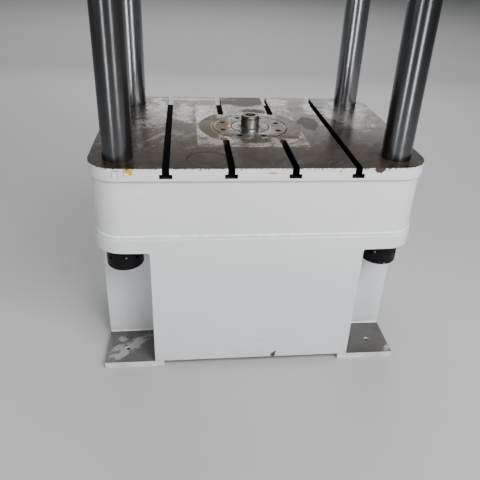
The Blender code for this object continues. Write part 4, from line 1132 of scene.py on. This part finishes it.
def section(node):
    """A turned node's outline as radius and height pairs, and whether it is a closed ring."""
    centre = middle_of(node)
    bm = node_copy(node)
    for normal, clear in (((1, 0, 0), True), ((0, 1, 0), False)):
        geometry = bm.verts[:] + bm.edges[:] + bm.faces[:]
        cut = bmesh.ops.bisect_plane(
            bm, geom=geometry, dist=MERGE_DISTANCE, plane_co=centre, plane_no=normal,
            clear_inner=clear)["geom_cut"]
    neighbours = {}
    for edge in cut:
        if isinstance(edge, bmesh.types.BMEdge):
            first, second = edge.verts
            neighbours.setdefault(first, []).append(second)
            neighbours.setdefault(second, []).append(first)
    ends = [vertex for vertex, others in neighbours.items() if len(others) == 1]
    start = min(ends or neighbours, key=lambda vertex: (vertex.co.z, vertex.co.x))
    chain = [start]
    while True:
        onward = [v for v in neighbours[chain[-1]] if v not in chain[-2:]]
        if not onward or onward[0] == start:
            break
        chain.append(onward[0])
    profile = [Vector((vertex.co.x - centre.x, vertex.co.z)) for vertex in chain]
    bm.free()
    return straightened(profile, closed=not ends), not ends, (centre.x, centre.y)


def straightened(profile, closed):
    """Leave out the points that lie on a straight stretch."""
    kept = []
    for i, point in enumerate(profile):
        if not closed and i in (0, len(profile) - 1):
            kept.append(point)
            continue
        before = point - profile[i - 1]
        after = profile[(i + 1) % len(profile)] - point
        if before.length < MERGE_DISTANCE:
            continue
        if abs(before.normalized().cross(after.normalized())) > FLAT_ANGLE:
            kept.append(point)
    return kept


def rounded_profile(profile, width, closed):
    """Replace each corner of a profile with three points on a small curve."""
    result = []
    for i, point in enumerate(profile):
        if not closed and i in (0, len(profile) - 1):
            result.append(point)
            continue
        before = profile[i - 1] - point
        after = profile[(i + 1) % len(profile)] - point
        reach = min(width, ROUNDING_SHARE * before.length, ROUNDING_SHARE * after.length)
        near = point + before.normalized() * reach
        far = point + after.normalized() * reach
        result += [near, (near + far) / 4 + point / 2, far]
    return result


def threaded(profile, radius, low, high, pitch, depth):
    """Cut ridges into the upright stretch of a profile that has this radius between two heights."""
    result = []
    for i, point in enumerate(profile):
        result.append(point)
        if i + 1 == len(profile):
            break
        after = profile[i + 1]
        if abs(point.x - radius) > GAP or abs(after.x - radius) > GAP:
            continue
        bottom, top = sorted((point.y, after.y))
        bottom, top = max(bottom, low), min(top, high)
        count = int((top - bottom) / pitch)
        ridges = []
        for index in range(count):
            base = bottom + index * pitch
            ridges += [Vector((radius, base)), Vector((radius + depth, base + pitch / 2))]
        if after.y < point.y:
            ridges.reverse()
        result += ridges
    return result


def turned(profile, sides, centre, closed):
    """A body with a circle for each point of a profile; circles on the axis shrink to a point."""
    bm = stacked([(circle(centre, point.x, sides), point.y) for point in profile], closed)
    bmesh.ops.remove_doubles(bm, verts=bm.verts, dist=MERGE_DISTANCE)
    return bm


# Pieces

def finish_piece(name, mesh, body, finishes, replaced=(), choose=None):
    """Shade a mesh, give it its materials and let it ride on its body."""
    mesh.materials.clear()
    for finish in finishes:
        mesh.materials.append(material(finish))
    for face in mesh.polygons:
        face.material_index = choose(face) if choose else 0
    mesh.shade_smooth()
    mesh.set_sharp_from_angle(angle=SHARP_ANGLE)
    piece = place_object(name, mesh)
    weighted = piece.modifiers.new("even_shading", "WEIGHTED_NORMAL")
    weighted.keep_sharp = True
    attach(piece, body)
    if replaced:
        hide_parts(*replaced)
    return piece


def finish_node(node, mesh, finishes=None, choose=None):
    """Let a mesh stand for one node."""
    slot = SLOT_OF[node]
    return finish_piece(
        f"{node}_finished", mesh, BODY_OF[node], finishes or [slot], [node], choose)


def finish_softened(node, width=None, sharp=None, finishes=None, choose=None):
    """Stand a softened copy of a node's own mesh for it."""
    shape = bpy.context.scene.press_shape
    bm = node_copy(node)
    soften(bm, width or shape.edge_rounding, sharp)
    return finish_node(node, mesh_from(node, bm), finishes, choose)


def finish_turned(node, width=None, change=None, cutters=(), finishes=None):
    """Turn a node's own outline again with many sides and broken edges."""
    shape = bpy.context.scene.press_shape
    profile, closed, centre = section(node)
    profile = rounded_profile(profile, width or shape.turned_rounding, closed)
    if change is not None:
        profile = change(profile)
    mesh = mesh_from(node, turned(profile, shape.turned_sides, centre, closed))
    if cutters:
        mesh = carve(mesh, *cutters)
    return finish_node(node, mesh, finishes)


def finish_box_wall(node, thickness):
    """The standing wall of a box between two plates."""
    low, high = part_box(node)
    outer = plan_of(node)
    inner = plan_of(node, thickness)
    levels = ((outer, low.z), (outer, high.z), (inner, high.z), (inner, low.z))
    return finish_node(node, mesh_from(node, stacked(levels, hollow=True)))


MIDDLE_AXIS = ((0, 0),)


def drills(places, radius, low, high):
    """Round upright cutters at some places."""
    bm = bmesh.new()
    for place in places:
        add_drill(bm, place, radius, low, high, bpy.context.scene.press_shape.turned_sides)
    return mesh_from("drills", bm)


def column_drills(node, radius):
    """Cutters of the columns' holes, right through a node."""
    low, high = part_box(node)
    places = [middle_of(f"column_{corner}").xy for corner, _, _ in CORNERS]
    return drills(places, radius, low.z - OVERRUN, high.z + OVERRUN)


def middle_drill(node, radius):
    """A cutter on the middle axis, right through a node."""
    low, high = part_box(node)
    return drills(MIDDLE_AXIS, radius, low.z - OVERRUN, high.z + OVERRUN)


def middle_cone(radius, low, high):
    """A cutter that widens upwards from a radius at 45 degrees."""
    sides = bpy.context.scene.press_shape.turned_sides
    rings = [(circle((0, 0), radius + height - low, sides), height) for height in (low, high)]
    return mesh_from("middle_cone", stacked(rings))


def slot_cutters(face, inward, half_depth, ring_radius):
    """Cutters of the T-slots' throats and heads, from a face into its plate."""
    shape = bpy.context.scene.press_shape
    start = face + inward * shape.slot_throat_depth
    end = start + inward * shape.slot_head_depth
    levels = (
        (shape.slot_width / 2, face - inward * OVERRUN, (start + end) / 2),
        (shape.slot_head_width / 2, start, end),
    )
    cutters = []
    for half_width, near, far in levels:
        bm = bmesh.new()
        for plan in slot_plans(half_width, half_depth, ring_radius):
            add_prism(bm, plan, near, far)
        cutters.append(mesh_from("slot_cutter", bm))
    return cutters


def plate_mesh(node):
    low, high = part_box(node)
    bm = bmesh.new()
    add_prism(bm, plan_of(node), low.z, high.z)
    return mesh_from(node, bm)


RIM_REACH = 1.2 * MM
RIM_SLOPE = 0.75


def on_rim(node):
    """A test for the faces of a plate's outer edge."""
    outline = [Vector(point) for point in plan_of(node)]

    def test(face):
        if abs(face.normal.z) > RIM_SLOPE:
            return 0
        middle = Vector((face.center.x, face.center.y))
        for first, second in zip(outline, outline[1:] + outline[:1]):
            along = second - first
            if along.length < MERGE_DISTANCE:
                continue
            share = max(0.0, min(1.0, (middle - first).dot(along) / along.length_squared))
            if (first + along * share - middle).length < RIM_REACH:
                return 1
        return 0

    return test


# Bed

COLUMN_LOW, COLUMN_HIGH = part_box("column_front_left")
NECK_STEP = 4.7 * MM
NECK_HOLE_RADIUS = (COLUMN_HIGH.x - COLUMN_LOW.x) / 2 - NECK_STEP
WALL_THICKNESS = 25 * MM
EJECTOR_HOLE_RADIUS = 60 * MM
# Tapped holes and pits in the table, in mm: middle, radius
TAPPED_HOLES = (
    (52, -184, 6), (188, 189, 5), (32, -277, 3.5), (-47, -277, 3.5), (139, -184, 3),
)
TAPPED_DEPTH = 24 * MM
TAPPED_SIDES = 20
SEAT_CHAMFER = 5 * MM
SEAT_LEDGE = 31 * MM
SEAM_ROUNDING = 2.2 * MM


def build_table():
    shape = bpy.context.scene.press_shape
    low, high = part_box("table_plate")
    ring_low, ring_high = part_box("ring_plate")
    seat = ring_high.x + GAP
    holes = bmesh.new()
    for x, y, radius in TAPPED_HOLES:
        add_drill(
            holes, (x * MM, y * MM), radius * MM, high.z - TAPPED_DEPTH, high.z + OVERRUN,
            TAPPED_SIDES)
    mesh = carve(
        plate_mesh("table_plate"),
        column_drills("table_plate", NECK_HOLE_RADIUS),
        drills(MIDDLE_AXIS, seat, ring_low.z - GAP, high.z + OVERRUN),
        drills(MIDDLE_AXIS, ring_high.x - SEAT_LEDGE, low.z - OVERRUN, high.z),
        middle_cone(seat, high.z - SEAT_CHAMFER, high.z + OVERRUN),
        mesh_from("tapped_holes", holes),
        *slot_cutters(high.z, -1, high.y, ring_high.x))
    mesh = softened(mesh, shape.slot_rounding)
    finish_node("table_plate", mesh, ["table_steel", "edge_paint"], on_rim("table_plate"))


LOWER_STEP_WIDTH = 6 * MM
LOWER_STEP_DEPTH = 15 * MM
JOINT_REACH = 5 * MM


def build_bed_box():
    shape = bpy.context.scene.press_shape
    finish_box_wall("bed_wall", WALL_THICKNESS)
    low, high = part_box("lower_plate")
    step = high.z - LOWER_STEP_DEPTH
    outer = plan_of("lower_plate")
    inner = plan_of("lower_plate", LOWER_STEP_WIDTH)
    levels = ((outer, low.z), (outer, step), (inner, step), (inner, high.z))
    mesh = carve(
        mesh_from("lower_plate", stacked(levels)),
        column_drills("lower_plate", NECK_HOLE_RADIUS),
        middle_drill("lower_plate", EJECTOR_HOLE_RADIUS))
    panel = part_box("front_panel")[1].x

    def flush_joint(middle):
        low_edge = middle.z < low.z + MM and abs(middle.y) > high.y - JOINT_REACH
        return low_edge and abs(middle.x) < panel

    finish_node("lower_plate", softened(mesh, 2 * shape.edge_rounding, flush_joint))


def build_legs():
    for end_name in ENDS:
        node = f"{end_name}_panel"

        def joint(middle, top=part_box(node)[1].z):
            return middle.z > top - MM

        finish_softened(node, sharp=joint)
    walls = [f"{side}_side_panel" for side in SIDES]
    for corner, _, _ in CORNERS:
        walls += [f"recess_wall_{corner}", f"return_wall_{corner}"]
    for node in walls:
        finish_softened(node)


FOOT_HOLE = (582 * MM, 404 * MM)
FOOT_HOLE_REACH = 20 * MM
FACING_UP = 0.9


def build_feet():
    shape = bpy.context.scene.press_shape
    for corner, side, end in CORNERS:
        node = f"foot_plate_{corner}"
        hole = Vector((side * FOOT_HOLE[0], end * FOOT_HOLE[1]))

        def painted(face, hole=hole):
            in_bore = (Vector(face.center[:2]) - hole).length < FOOT_HOLE_REACH
            return 0 if face.normal.z > FACING_UP or in_bore else 1

        finish_softened(
            node, shape.slot_rounding, finishes=["foot_steel", "paint"], choose=painted)


# Columns and nuts

THREAD_RADIUS = 52 * MM
THREAD_LENGTH = 10 * MM
THREAD_SHARE = 0.5
SPANNER_HOLES = 4
SPANNER_RADIUS = 8 * MM
SPANNER_DEPTH = 13 * MM
LYING = Matrix.Rotation(math.pi / 2, 4, "Y")


def add_pin(bm, place, turn, radius, length):
    """A round cutter that lies along X before its turn."""
    bmesh.ops.create_cone(
        bm, cap_ends=True, segments=PIN_SIDES, radius1=radius, radius2=radius, depth=length,
        matrix=Matrix.Translation(place) @ turn @ LYING)


def build_columns():
    shape = bpy.context.scene.press_shape
    for corner, _, _ in CORNERS:
        node = f"column_{corner}"
        low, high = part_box(node)

        def ridged(profile, low=low.z, high=high.z):
            depth = -THREAD_SHARE * shape.thread_pitch
            for bottom, top in ((low, low + THREAD_LENGTH), (high - THREAD_LENGTH, high)):
                profile = threaded(profile, THREAD_RADIUS, bottom, top, shape.thread_pitch, depth)
            return profile

        finish_turned(node, change=ridged)
        for level in ("lower", "upper"):
            nut = f"{level}_nut_{corner}"
            finish_turned(nut, 2 * shape.turned_rounding, cutters=[spanner_cutters(nut)])


def spanner_cutters(node):
    """Blind holes around a nut's rim."""
    low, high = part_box(node)
    length = SPANNER_DEPTH + OVERRUN
    reach = (high.x - low.x) / 2 - SPANNER_DEPTH + length / 2
    bm = bmesh.new()
    for index in range(SPANNER_HOLES):
        turn = Matrix.Rotation(math.tau * (index + 1 / 2) / SPANNER_HOLES, 4, "Z")
        place = middle_of(node) + turn @ Vector((reach, 0, 0))
        add_pin(bm, place, turn, SPANNER_RADIUS, length)
    return mesh_from("spanner_cutters", bm)


# Middle of the table and the ejector

POCKET_COUNT = 8
POCKET_START = math.radians(20)
POCKET_CIRCLE = 138 * MM
POCKET_RADIUS = 13 * MM
POCKET_DEPTH = 17 * MM
POCKET_SIDES = 32
# The rod's tapped end: radius, from and to below its top, pitch, height of the ridges
ROD_THREAD = (12 * MM, 48 * MM, 8 * MM, 3 * MM, 1.2 * MM)


def build_centre():
    shape = bpy.context.scene.press_shape
    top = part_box("ring_plate")[1].z
    pockets = bmesh.new()
    for index in range(POCKET_COUNT):
        angle = POCKET_START + math.tau * index / POCKET_COUNT
        centre = (POCKET_CIRCLE * math.cos(angle), POCKET_CIRCLE * math.sin(angle))
        add_drill(pockets, centre, POCKET_RADIUS, top - POCKET_DEPTH, top + OVERRUN, POCKET_SIDES)
    finish_turned("ring_plate", SEAM_ROUNDING, cutters=[mesh_from("pockets", pockets)])
    finish_turned("guide_ring", SEAM_ROUNDING)
    finish_turned("rod_scraper", 0.5 * shape.turned_rounding)

    def tapped(profile):
        radius, start, end, pitch, ridge = ROD_THREAD
        return threaded(profile, radius, ROD_TOP - start, ROD_TOP - end, pitch, ridge)

    finish_turned("ejector_rod", change=tapped, finishes=["rod_steel"])
    finish_turned("ejector_barrel")
    finish_turned("ejector_end_cap")


# Slide

BUSH_HOLE_RADIUS = 78.3 * MM
SLIDE_WALL_THICKNESS = 18 * MM


def build_slide():
    shape = bpy.context.scene.press_shape
    low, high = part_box("slide_face_plate")
    mesh = carve(
        plate_mesh("slide_face_plate"), column_drills("slide_face_plate", BUSH_HOLE_RADIUS),
        *slot_cutters(low.z, 1, high.y, 0.0))
    finish_node(
        "slide_face_plate", softened(mesh, shape.slot_rounding), ["turned_steel", "warning"],
        on_rim("slide_face_plate"))
    finish_box_wall("slide_wall", SLIDE_WALL_THICKNESS)
    mesh = carve(
        plate_mesh("slide_top_plate"), column_drills("slide_top_plate", BUSH_HOLE_RADIUS))
    finish_node("slide_top_plate", softened(mesh, 2 * shape.edge_rounding))
    for corner, _, _ in CORNERS:
        finish_turned(f"guide_bush_{corner}")
    finish_turned("ram")
    finish_softened("switch_vane")


# Crown and cylinder

BARREL_HOLE_RADIUS = 210.3 * MM
CYLINDER_NODES = (
    "main_barrel", "main_gland", "barrel_lock_nut", "filling_tank", "filling_valve", "tank_lid")


def build_crown():
    shape = bpy.context.scene.press_shape
    for node in ("crown_bottom_plate", "crown_top_plate"):
        mesh = carve(
            plate_mesh(node), column_drills(node, NECK_HOLE_RADIUS),
            middle_drill(node, BARREL_HOLE_RADIUS))
        finish_node(node, softened(mesh, 2 * shape.edge_rounding))
    finish_box_wall("crown_wall", WALL_THICKNESS)
    for node in CYLINDER_NODES:
        finish_turned(node, 2 * shape.turned_rounding)


# Limit switches and junction box

COVER_POCKET_RADIUS = 5 * MM
COVER_POCKET_DEPTH = 3.2 * MM
# Covers: the side that their screws face, half the distances between the screws
COVERS = {
    "upper_switch": (1, 24 * MM, 25 * MM),
    "lower_switch": (1, 24 * MM, 25 * MM),
    "junction_box_lid": (-1, 112 * MM, 82 * MM),
}


def cover_face(node, side):
    """The middle of a cover's outer face."""
    low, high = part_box(node)
    centre = middle_of(node)
    return Vector((high.x if side > 0 else low.x, centre.y, centre.z))


def cover_pockets(node, side, half_width, half_height):
    """Four round pockets in the outer face of a switch or a lid."""
    bm = bmesh.new()
    for across in (-1, 1):
        for along in (-1, 1):
            place = cover_face(node, side) + Vector((0, across * half_width, along * half_height))
            add_pin(bm, place, Matrix.Identity(4), COVER_POCKET_RADIUS, 2 * COVER_POCKET_DEPTH)
    return mesh_from("cover_pockets", bm)


def build_switches():
    for node in ("switch_rail", "junction_box"):
        finish_softened(node)
    for node, (side, half_width, half_height) in COVERS.items():
        mesh = mesh_from(node, node_copy(node))
        mesh = softened(mesh, bpy.context.scene.press_shape.edge_rounding)
        finish_node(node, carve(mesh, cover_pockets(node, side, half_width, half_height)))


# Welds

BEAD_UNEVENNESS = 0.45
SEAM_SHORTER = 2 * MM
SEAM_FROM_EDGE = 30 * MM
# Sizes of the beads in a corner recess
UPRIGHT_SEAM = 0.7
RETURN_SEAM = 0.6
WALL_SEAM = 1.4
TOP_SEAM = 0.8
# Welds around the boxes: wall, which end, size against the named bead radius, lift
WELD_LOOPS = (
    ("bed_wall", "low", 1.35, -2 * MM), ("bed_wall", "high", 0.4, 0.0),
    ("crown_wall", "low", 0.8, 0.0), ("crown_wall", "high", 1.0, 0.0),
    ("slide_wall", "low", 0.8, 0.0), ("slide_wall", "high", 1.0, 0.0),
)


def leg_seams():
    """The inner edges of the corner recesses: each a size and a list of points."""
    seams = []
    for corner, side, end in CORNERS:
        wall_low, wall_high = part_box(f"recess_wall_{corner}")
        return_low, return_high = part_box(f"return_wall_{corner}")
        x = side * max(abs(return_low.x), abs(return_high.x))
        y = end * max(abs(wall_low.y), abs(wall_high.y))
        far_x = side * (max(abs(wall_low.x), abs(wall_high.x)) - SEAM_SHORTER)
        far_y = end * (BED_HALF_DEPTH - SEAM_FROM_EDGE)
        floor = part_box(f"foot_plate_{corner}")[1].z
        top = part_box("lower_plate")[0].z
        seams.append((UPRIGHT_SEAM, [(x, y, floor), (x, y, top)]))
        seams.append((RETURN_SEAM, [(x, far_y, floor), (x, y, floor)]))
        seams.append((WALL_SEAM, [(x, y, floor), (far_x, y, floor)]))
        seams.append((TOP_SEAM, [(x, far_y, top), (x, y, top), (far_x, y, top)]))
    return seams


def weld_paths(body):
    """Closed and open chains of points along a body's welds, each with its size."""
    loops = []
    for node, level, size, lift in WELD_LOOPS:
        if BODY_OF[node] == body:
            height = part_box(node)[0 if level == "low" else 1].z + lift
            loops.append((size, [(x, y, height) for x, y in plan_of(node)]))
    return loops, leg_seams() if body == "frame" else []


def build_welds():
    shape = bpy.context.scene.press_shape
    for body in ("frame", "slide"):
        bm = bmesh.new()
        sizes = bm.verts.layers.float.new(BEAD_SIZE)
        loops, seams = weld_paths(body)
        for closed, chains in ((True, loops), (False, seams)):
            for size, chain in chains:
                row = [bm.verts.new(point) for point in chain]
                for vertex in row:
                    vertex[sizes] = size
                for pair in zip(row, row[1:]):
                    bm.edges.new(pair)
                if closed:
                    bm.edges.new((row[-1], row[0]))
        bmesh.ops.remove_doubles(bm, verts=bm.verts, dist=MERGE_DISTANCE)
        mesh = bpy.data.meshes.new("weld_paths")
        bm.to_mesh(mesh)
        bm.free()
        item = place_object("weld_paths", mesh)
        grow(item, "beads", {
            "Radius": shape.bead_radius, "Ripple": shape.bead_ripple,
            "Unevenness": BEAD_UNEVENNESS, "Material": material("bead_paint")})
        finish_piece(f"{body}_welds", grown(item), body, ["bead_paint"])


# Fasteners

TURN_UP = (0.0, 0.0, 0.0)
TURN_DOWN = (math.pi, 0.0, 0.0)
TURN_RIGHT = (0.0, math.pi / 2, 0.0)
TURN_LEFT = (0.0, -math.pi / 2, 0.0)
SOCKET_SHARE = 0.58
HIGH_HEAD_SHARE = 1.1
LOW_HEAD_SHARE = 0.7
RAIL_HEAD = 6 * MM
COVER_HEAD = 4.2 * MM
SET_HEAD = 3.2 * MM
EJECTOR_FLANGE = 40 * MM
RAM_FLANGE = 55 * MM
HEAD_LIFT = 0.4 * MM
# Circles of screws: radius, count, radius of the heads
POCKET_SCREWS = (POCKET_CIRCLE, POCKET_COUNT, 12 * MM)
EJECTOR_SCREWS = (127 * MM, 8, 12 * MM)
END_CAP_SCREWS = (87 * MM, 8, 8 * MM)
GLAND_SCREWS = (200 * MM, 16, 12 * MM)
RAM_SCREWS = (165 * MM, 12, 12 * MM)
BUSH_SCREWS = (86 * MM, 6, 5 * MM)
EJECTOR_START = 0.3
BUSH_START = 0.5
RAIL_END = 22 * MM
RAIL_ACROSS = 16 * MM
RAIL_PITCH = 20 * MM


def ring_screws(node, top, screws, facing=TURN_UP, start=0.0):
    """A ring of screws around a node's axis, on its top or bottom face."""
    circle, count, radius = screws
    centre = middle_of(node)
    return "ring", {
        "Count": count, "Circle Radius": circle, "First Angle": start,
        "Head Radius": radius, "Head Height": HIGH_HEAD_SHARE * radius,
        "Socket Radius": SOCKET_SHARE * radius,
        "Place": (centre.x, centre.y, top), "Turn": facing}


def row_screws(place, pitch, count, radius, facing):
    """A row of screws on a face that looks along X."""
    return "row", {
        "Count": count, "Pitch": pitch,
        "Head Radius": radius, "Head Height": LOW_HEAD_SHARE * radius,
        "Socket Radius": SOCKET_SHARE * radius,
        "Place": tuple(place), "Turn": facing}


def frame_screws():
    """The screws of the bed, the ejector, the crown and the switches."""
    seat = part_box("ring_plate")[1].z - POCKET_DEPTH + HEAD_LIFT
    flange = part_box("ejector_barrel")[1].z - EJECTOR_FLANGE
    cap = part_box("ejector_end_cap")[0].z
    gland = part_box("main_gland")[0].z
    screws = [
        ring_screws("ring_plate", seat, POCKET_SCREWS, start=POCKET_START),
        ring_screws("ejector_barrel", flange, EJECTOR_SCREWS, TURN_DOWN, EJECTOR_START),
        ring_screws("ejector_end_cap", cap, END_CAP_SCREWS, TURN_DOWN),
        ring_screws("main_gland", gland, GLAND_SCREWS, TURN_DOWN),
    ]
    rail_low, rail_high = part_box("switch_rail")
    for height in (rail_low.z + RAIL_END, rail_high.z - RAIL_END):
        for across in (-RAIL_ACROSS, RAIL_ACROSS):
            place = (rail_high.x, across, height)
            screws.append(row_screws(place, RAIL_PITCH, 2, RAIL_HEAD, TURN_RIGHT))
    for node, (side, half_width, half_height) in COVERS.items():
        facing = TURN_RIGHT if side > 0 else TURN_LEFT
        for across in (-half_width, half_width):
            place = cover_face(node, side) + Vector((-side * COVER_POCKET_DEPTH, across, 0))
            screws.append(row_screws(place, 2 * half_height, 2, COVER_HEAD, facing))
    return screws


def slide_screws():
    """The screws of the ram's flange and the guide bushes."""
    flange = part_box("slide_top_plate")[1].z + RAM_FLANGE
    screws = [ring_screws("ram", flange, RAM_SCREWS)]
    for corner, _, _ in CORNERS:
        node = f"guide_bush_{corner}"
        screws.append(ring_screws(node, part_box(node)[1].z, BUSH_SCREWS, start=BUSH_START))
    return screws


# Set screws of the nuts: nut, angle around it, height
SET_SCREWS = (
    ("lower_nut_front_left", -80.3, 570 * MM),
    ("lower_nut_front_right", -121.7, 570 * MM),
    ("lower_nut_front_right", -85.9, 516 * MM),
    ("lower_nut_back_left", 80.0, 570 * MM),
    ("lower_nut_back_right", 100.0, 570 * MM),
)


def set_screws():
    """Small bright screws in the sides of the lower nuts."""
    screws = []
    for node, degrees, height in SET_SCREWS:
        low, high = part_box(node)
        centre = middle_of(node)
        angle = math.radians(degrees)
        reach = (high.x - low.x) / 2 - MM
        place = (centre.x + reach * math.cos(angle), centre.y + reach * math.sin(angle), height)
        screws.append(row_screws(place, 0.0, 1, SET_HEAD, (0.0, math.pi / 2, angle)))
    return screws


def build_fasteners():
    groups = (
        ("frame_screws", "frame", "black_steel", frame_screws()),
        ("nut_set_screws", "frame", "turned_steel", set_screws()),
        ("slide_screws", "slide", "black_steel", slide_screws()),
    )
    for name, body, finish, screws in groups:
        item = place_object("screws", bpy.data.meshes.new("screws"))
        for kind, values in screws:
            grow(item, kind, {**values, "Material": material(finish)})
        finish_piece(name, grown(item), body, [finish])


# Stage

CAMERA_PLACE = (-295.961 * MM, -2294.431 * MM, 1749.237 * MM)
CAMERA_YAW = math.radians(6.645)
CAMERA_PITCH = math.radians(27.84)
CAMERA_ROLL = math.radians(2.398)
PHOTO_SIZE = 480
FOCAL_PIXELS = 513.563
CENTRE_ROW = 213.5
SENSOR_WIDTH = 36.0
FLOOR_REACH = 40.0
# Each light's place, aim and size, and the stage property that holds its watts
LIGHTS = (
    ("key_light", (2.0, -3.4, 4.2), (0, 0, 0.9), (3.5, 2.4), "key"),
    ("fill_light", (-4.2, -1.8, 2.6), (0, 0, 0.9), (2.6, 2.4), "fill"),
    ("back_light", (0.5, 5.2, 2.0), (0, 0, 1.0), (7.0, 1.5), "back"),
    ("far_light", (0, 8.5, 11), (0, 8.5, 0), (7.0, 7.0), "far"),
    ("right_strip", (1.14, -2.94, 0.87), (0, 0, 0.87), (0.34, 1.14), "strips"),
    ("left_strip", (-1.5, -2.76, 0.87), (0, 0, 0.87), (0.2, 1.14), "strips"),
)


def build_camera():
    """A camera at the photograph's viewing angle."""
    forward = Vector((
        math.sin(CAMERA_YAW) * math.cos(CAMERA_PITCH),
        math.cos(CAMERA_YAW) * math.cos(CAMERA_PITCH),
        -math.sin(CAMERA_PITCH)))
    right = Vector((math.cos(CAMERA_YAW), -math.sin(CAMERA_YAW), 0))
    up = right.cross(forward)
    level = Matrix((right, up, -forward)).transposed()
    data = bpy.data.cameras.new("camera")
    data.sensor_width = SENSOR_WIDTH
    data.lens = FOCAL_PIXELS / PHOTO_SIZE * SENSOR_WIDTH
    data.shift_y = (CENTRE_ROW - PHOTO_SIZE / 2) / PHOTO_SIZE
    camera = place_object("camera", data)
    turn = (level @ Matrix.Rotation(CAMERA_ROLL, 3, "Z")).to_4x4()
    camera.matrix_world = Matrix.Translation(CAMERA_PLACE) @ turn
    bpy.context.scene.camera = camera


def build_light(name, place, target, size, power):
    data = bpy.data.lights.new(name, "AREA")
    data.shape = "RECTANGLE"
    data.size, data.size_y = size
    data.energy = power
    light = place_object(name, data)
    light.visible_camera = False
    aim = (Vector(target) - Vector(place)).to_track_quat("-Z", "Y")
    light.matrix_world = Matrix.Translation(place) @ aim.to_matrix().to_4x4()


def build_world(strength):
    world = bpy.data.worlds.new("even_light")
    world.use_nodes = True
    background = world.node_tree.nodes["Background"]
    background.inputs["Color"].default_value = SKY
    background.inputs["Strength"].default_value = strength
    bpy.context.scene.world = world


def build_floor(stage):
    bm = bmesh.new()
    corners = ((-1, -1), (1, -1), (1, 1), (-1, 1))
    bm.faces.new([bm.verts.new((x * FLOOR_REACH, y * FLOOR_REACH, 0)) for x, y in corners])
    mesh = mesh_from("floor", bm)
    mesh.materials.append(floor_material(stage))
    place_object("floor", mesh)


def build_stage():
    stage = bpy.context.scene.press_stage
    build_camera()
    for name, place, aim, size, watts in LIGHTS:
        build_light(name, place, aim, size, getattr(stage, watts))
    build_world(stage.world)
    build_floor(stage)


# Operators and panel

class PRESS_OT_stage(bpy.types.Operator):
    """Camera, floor and light."""

    bl_idname = "press.stage"
    bl_label = "Stage"
    bl_options = {"REGISTER", "UNDO"}

    def execute(self, context):
        build_stage()
        return {"FINISHED"}


class PRESS_OT_bed(bpy.types.Operator):
    """Table, bed box, legs and feet."""

    bl_idname = "press.bed"
    bl_label = "Bed"
    bl_options = {"REGISTER", "UNDO"}

    def execute(self, context):
        build_table()
        build_bed_box()
        build_legs()
        build_feet()
        return {"FINISHED"}


class PRESS_OT_columns(bpy.types.Operator):
    """Columns and their nuts."""

    bl_idname = "press.columns"
    bl_label = "Columns"
    bl_options = {"REGISTER", "UNDO"}

    def execute(self, context):
        build_columns()
        return {"FINISHED"}


class PRESS_OT_centre(bpy.types.Operator):
    """Ring plate, guide and ejector."""

    bl_idname = "press.centre"
    bl_label = "Table centre"
    bl_options = {"REGISTER", "UNDO"}

    def execute(self, context):
        build_centre()
        return {"FINISHED"}


class PRESS_OT_slide(bpy.types.Operator):
    """Slide, guide bushes, ram and vane."""

    bl_idname = "press.slide"
    bl_label = "Slide"
    bl_options = {"REGISTER", "UNDO"}

    def execute(self, context):
        build_slide()
        return {"FINISHED"}


class PRESS_OT_crown(bpy.types.Operator):
    """Crown, main cylinder and filling tank."""

    bl_idname = "press.crown"
    bl_label = "Crown"
    bl_options = {"REGISTER", "UNDO"}

    def execute(self, context):
        build_crown()
        return {"FINISHED"}


class PRESS_OT_switches(bpy.types.Operator):
    """Limit switches and junction box."""

    bl_idname = "press.switches"
    bl_label = "Switches"
    bl_options = {"REGISTER", "UNDO"}

    def execute(self, context):
        build_switches()
        return {"FINISHED"}


class PRESS_OT_welds(bpy.types.Operator):
    """Weld beads of the bed, slide and crown."""

    bl_idname = "press.welds"
    bl_label = "Welds"
    bl_options = {"REGISTER", "UNDO"}

    def execute(self, context):
        build_welds()
        return {"FINISHED"}


class PRESS_OT_fasteners(bpy.types.Operator):
    """Socket screws of every flange and cover."""

    bl_idname = "press.fasteners"
    bl_label = "Fasteners"
    bl_options = {"REGISTER", "UNDO"}

    def execute(self, context):
        build_fasteners()
        return {"FINISHED"}


OPERATORS = (
    PRESS_OT_stage, PRESS_OT_bed, PRESS_OT_columns, PRESS_OT_centre, PRESS_OT_slide,
    PRESS_OT_crown, PRESS_OT_switches, PRESS_OT_welds, PRESS_OT_fasteners)


class PRESS_PT_sidebar(bpy.types.Panel):
    """The press's pieces, each made by its button."""

    bl_label = "Hydraulic press"
    bl_space_type = "VIEW_3D"
    bl_region_type = "UI"
    bl_category = "Press"

    def draw(self, context):
        for made in OPERATORS:
            self.layout.operator(made.bl_idname)


GROUPS = {
    "press_shape": PressShape,
    "press_finish": PressFinish,
    "press_stage": PressStage,
}


def register():
    for group in GROUPS.values():
        bpy.utils.register_class(group)
    for name, group in GROUPS.items():
        setattr(bpy.types.Scene, name, PointerProperty(type=group))
    for made in (*OPERATORS, PRESS_PT_sidebar):
        bpy.utils.register_class(made)


def unregister():
    for made in reversed((*OPERATORS, PRESS_PT_sidebar)):
        bpy.utils.unregister_class(made)
    for name in GROUPS:
        delattr(bpy.types.Scene, name)
    for group in GROUPS.values():
        bpy.utils.unregister_class(group)


def main():
    register()
    bpy.ops.press.stage()
    bpy.ops.press.bed()
    bpy.ops.press.columns()
    bpy.ops.press.centre()
    bpy.ops.press.slide()
    bpy.ops.press.crown()
    bpy.ops.press.switches()
    bpy.ops.press.welds()
    bpy.ops.press.fasteners()


if __name__ == "__main__":
    main()
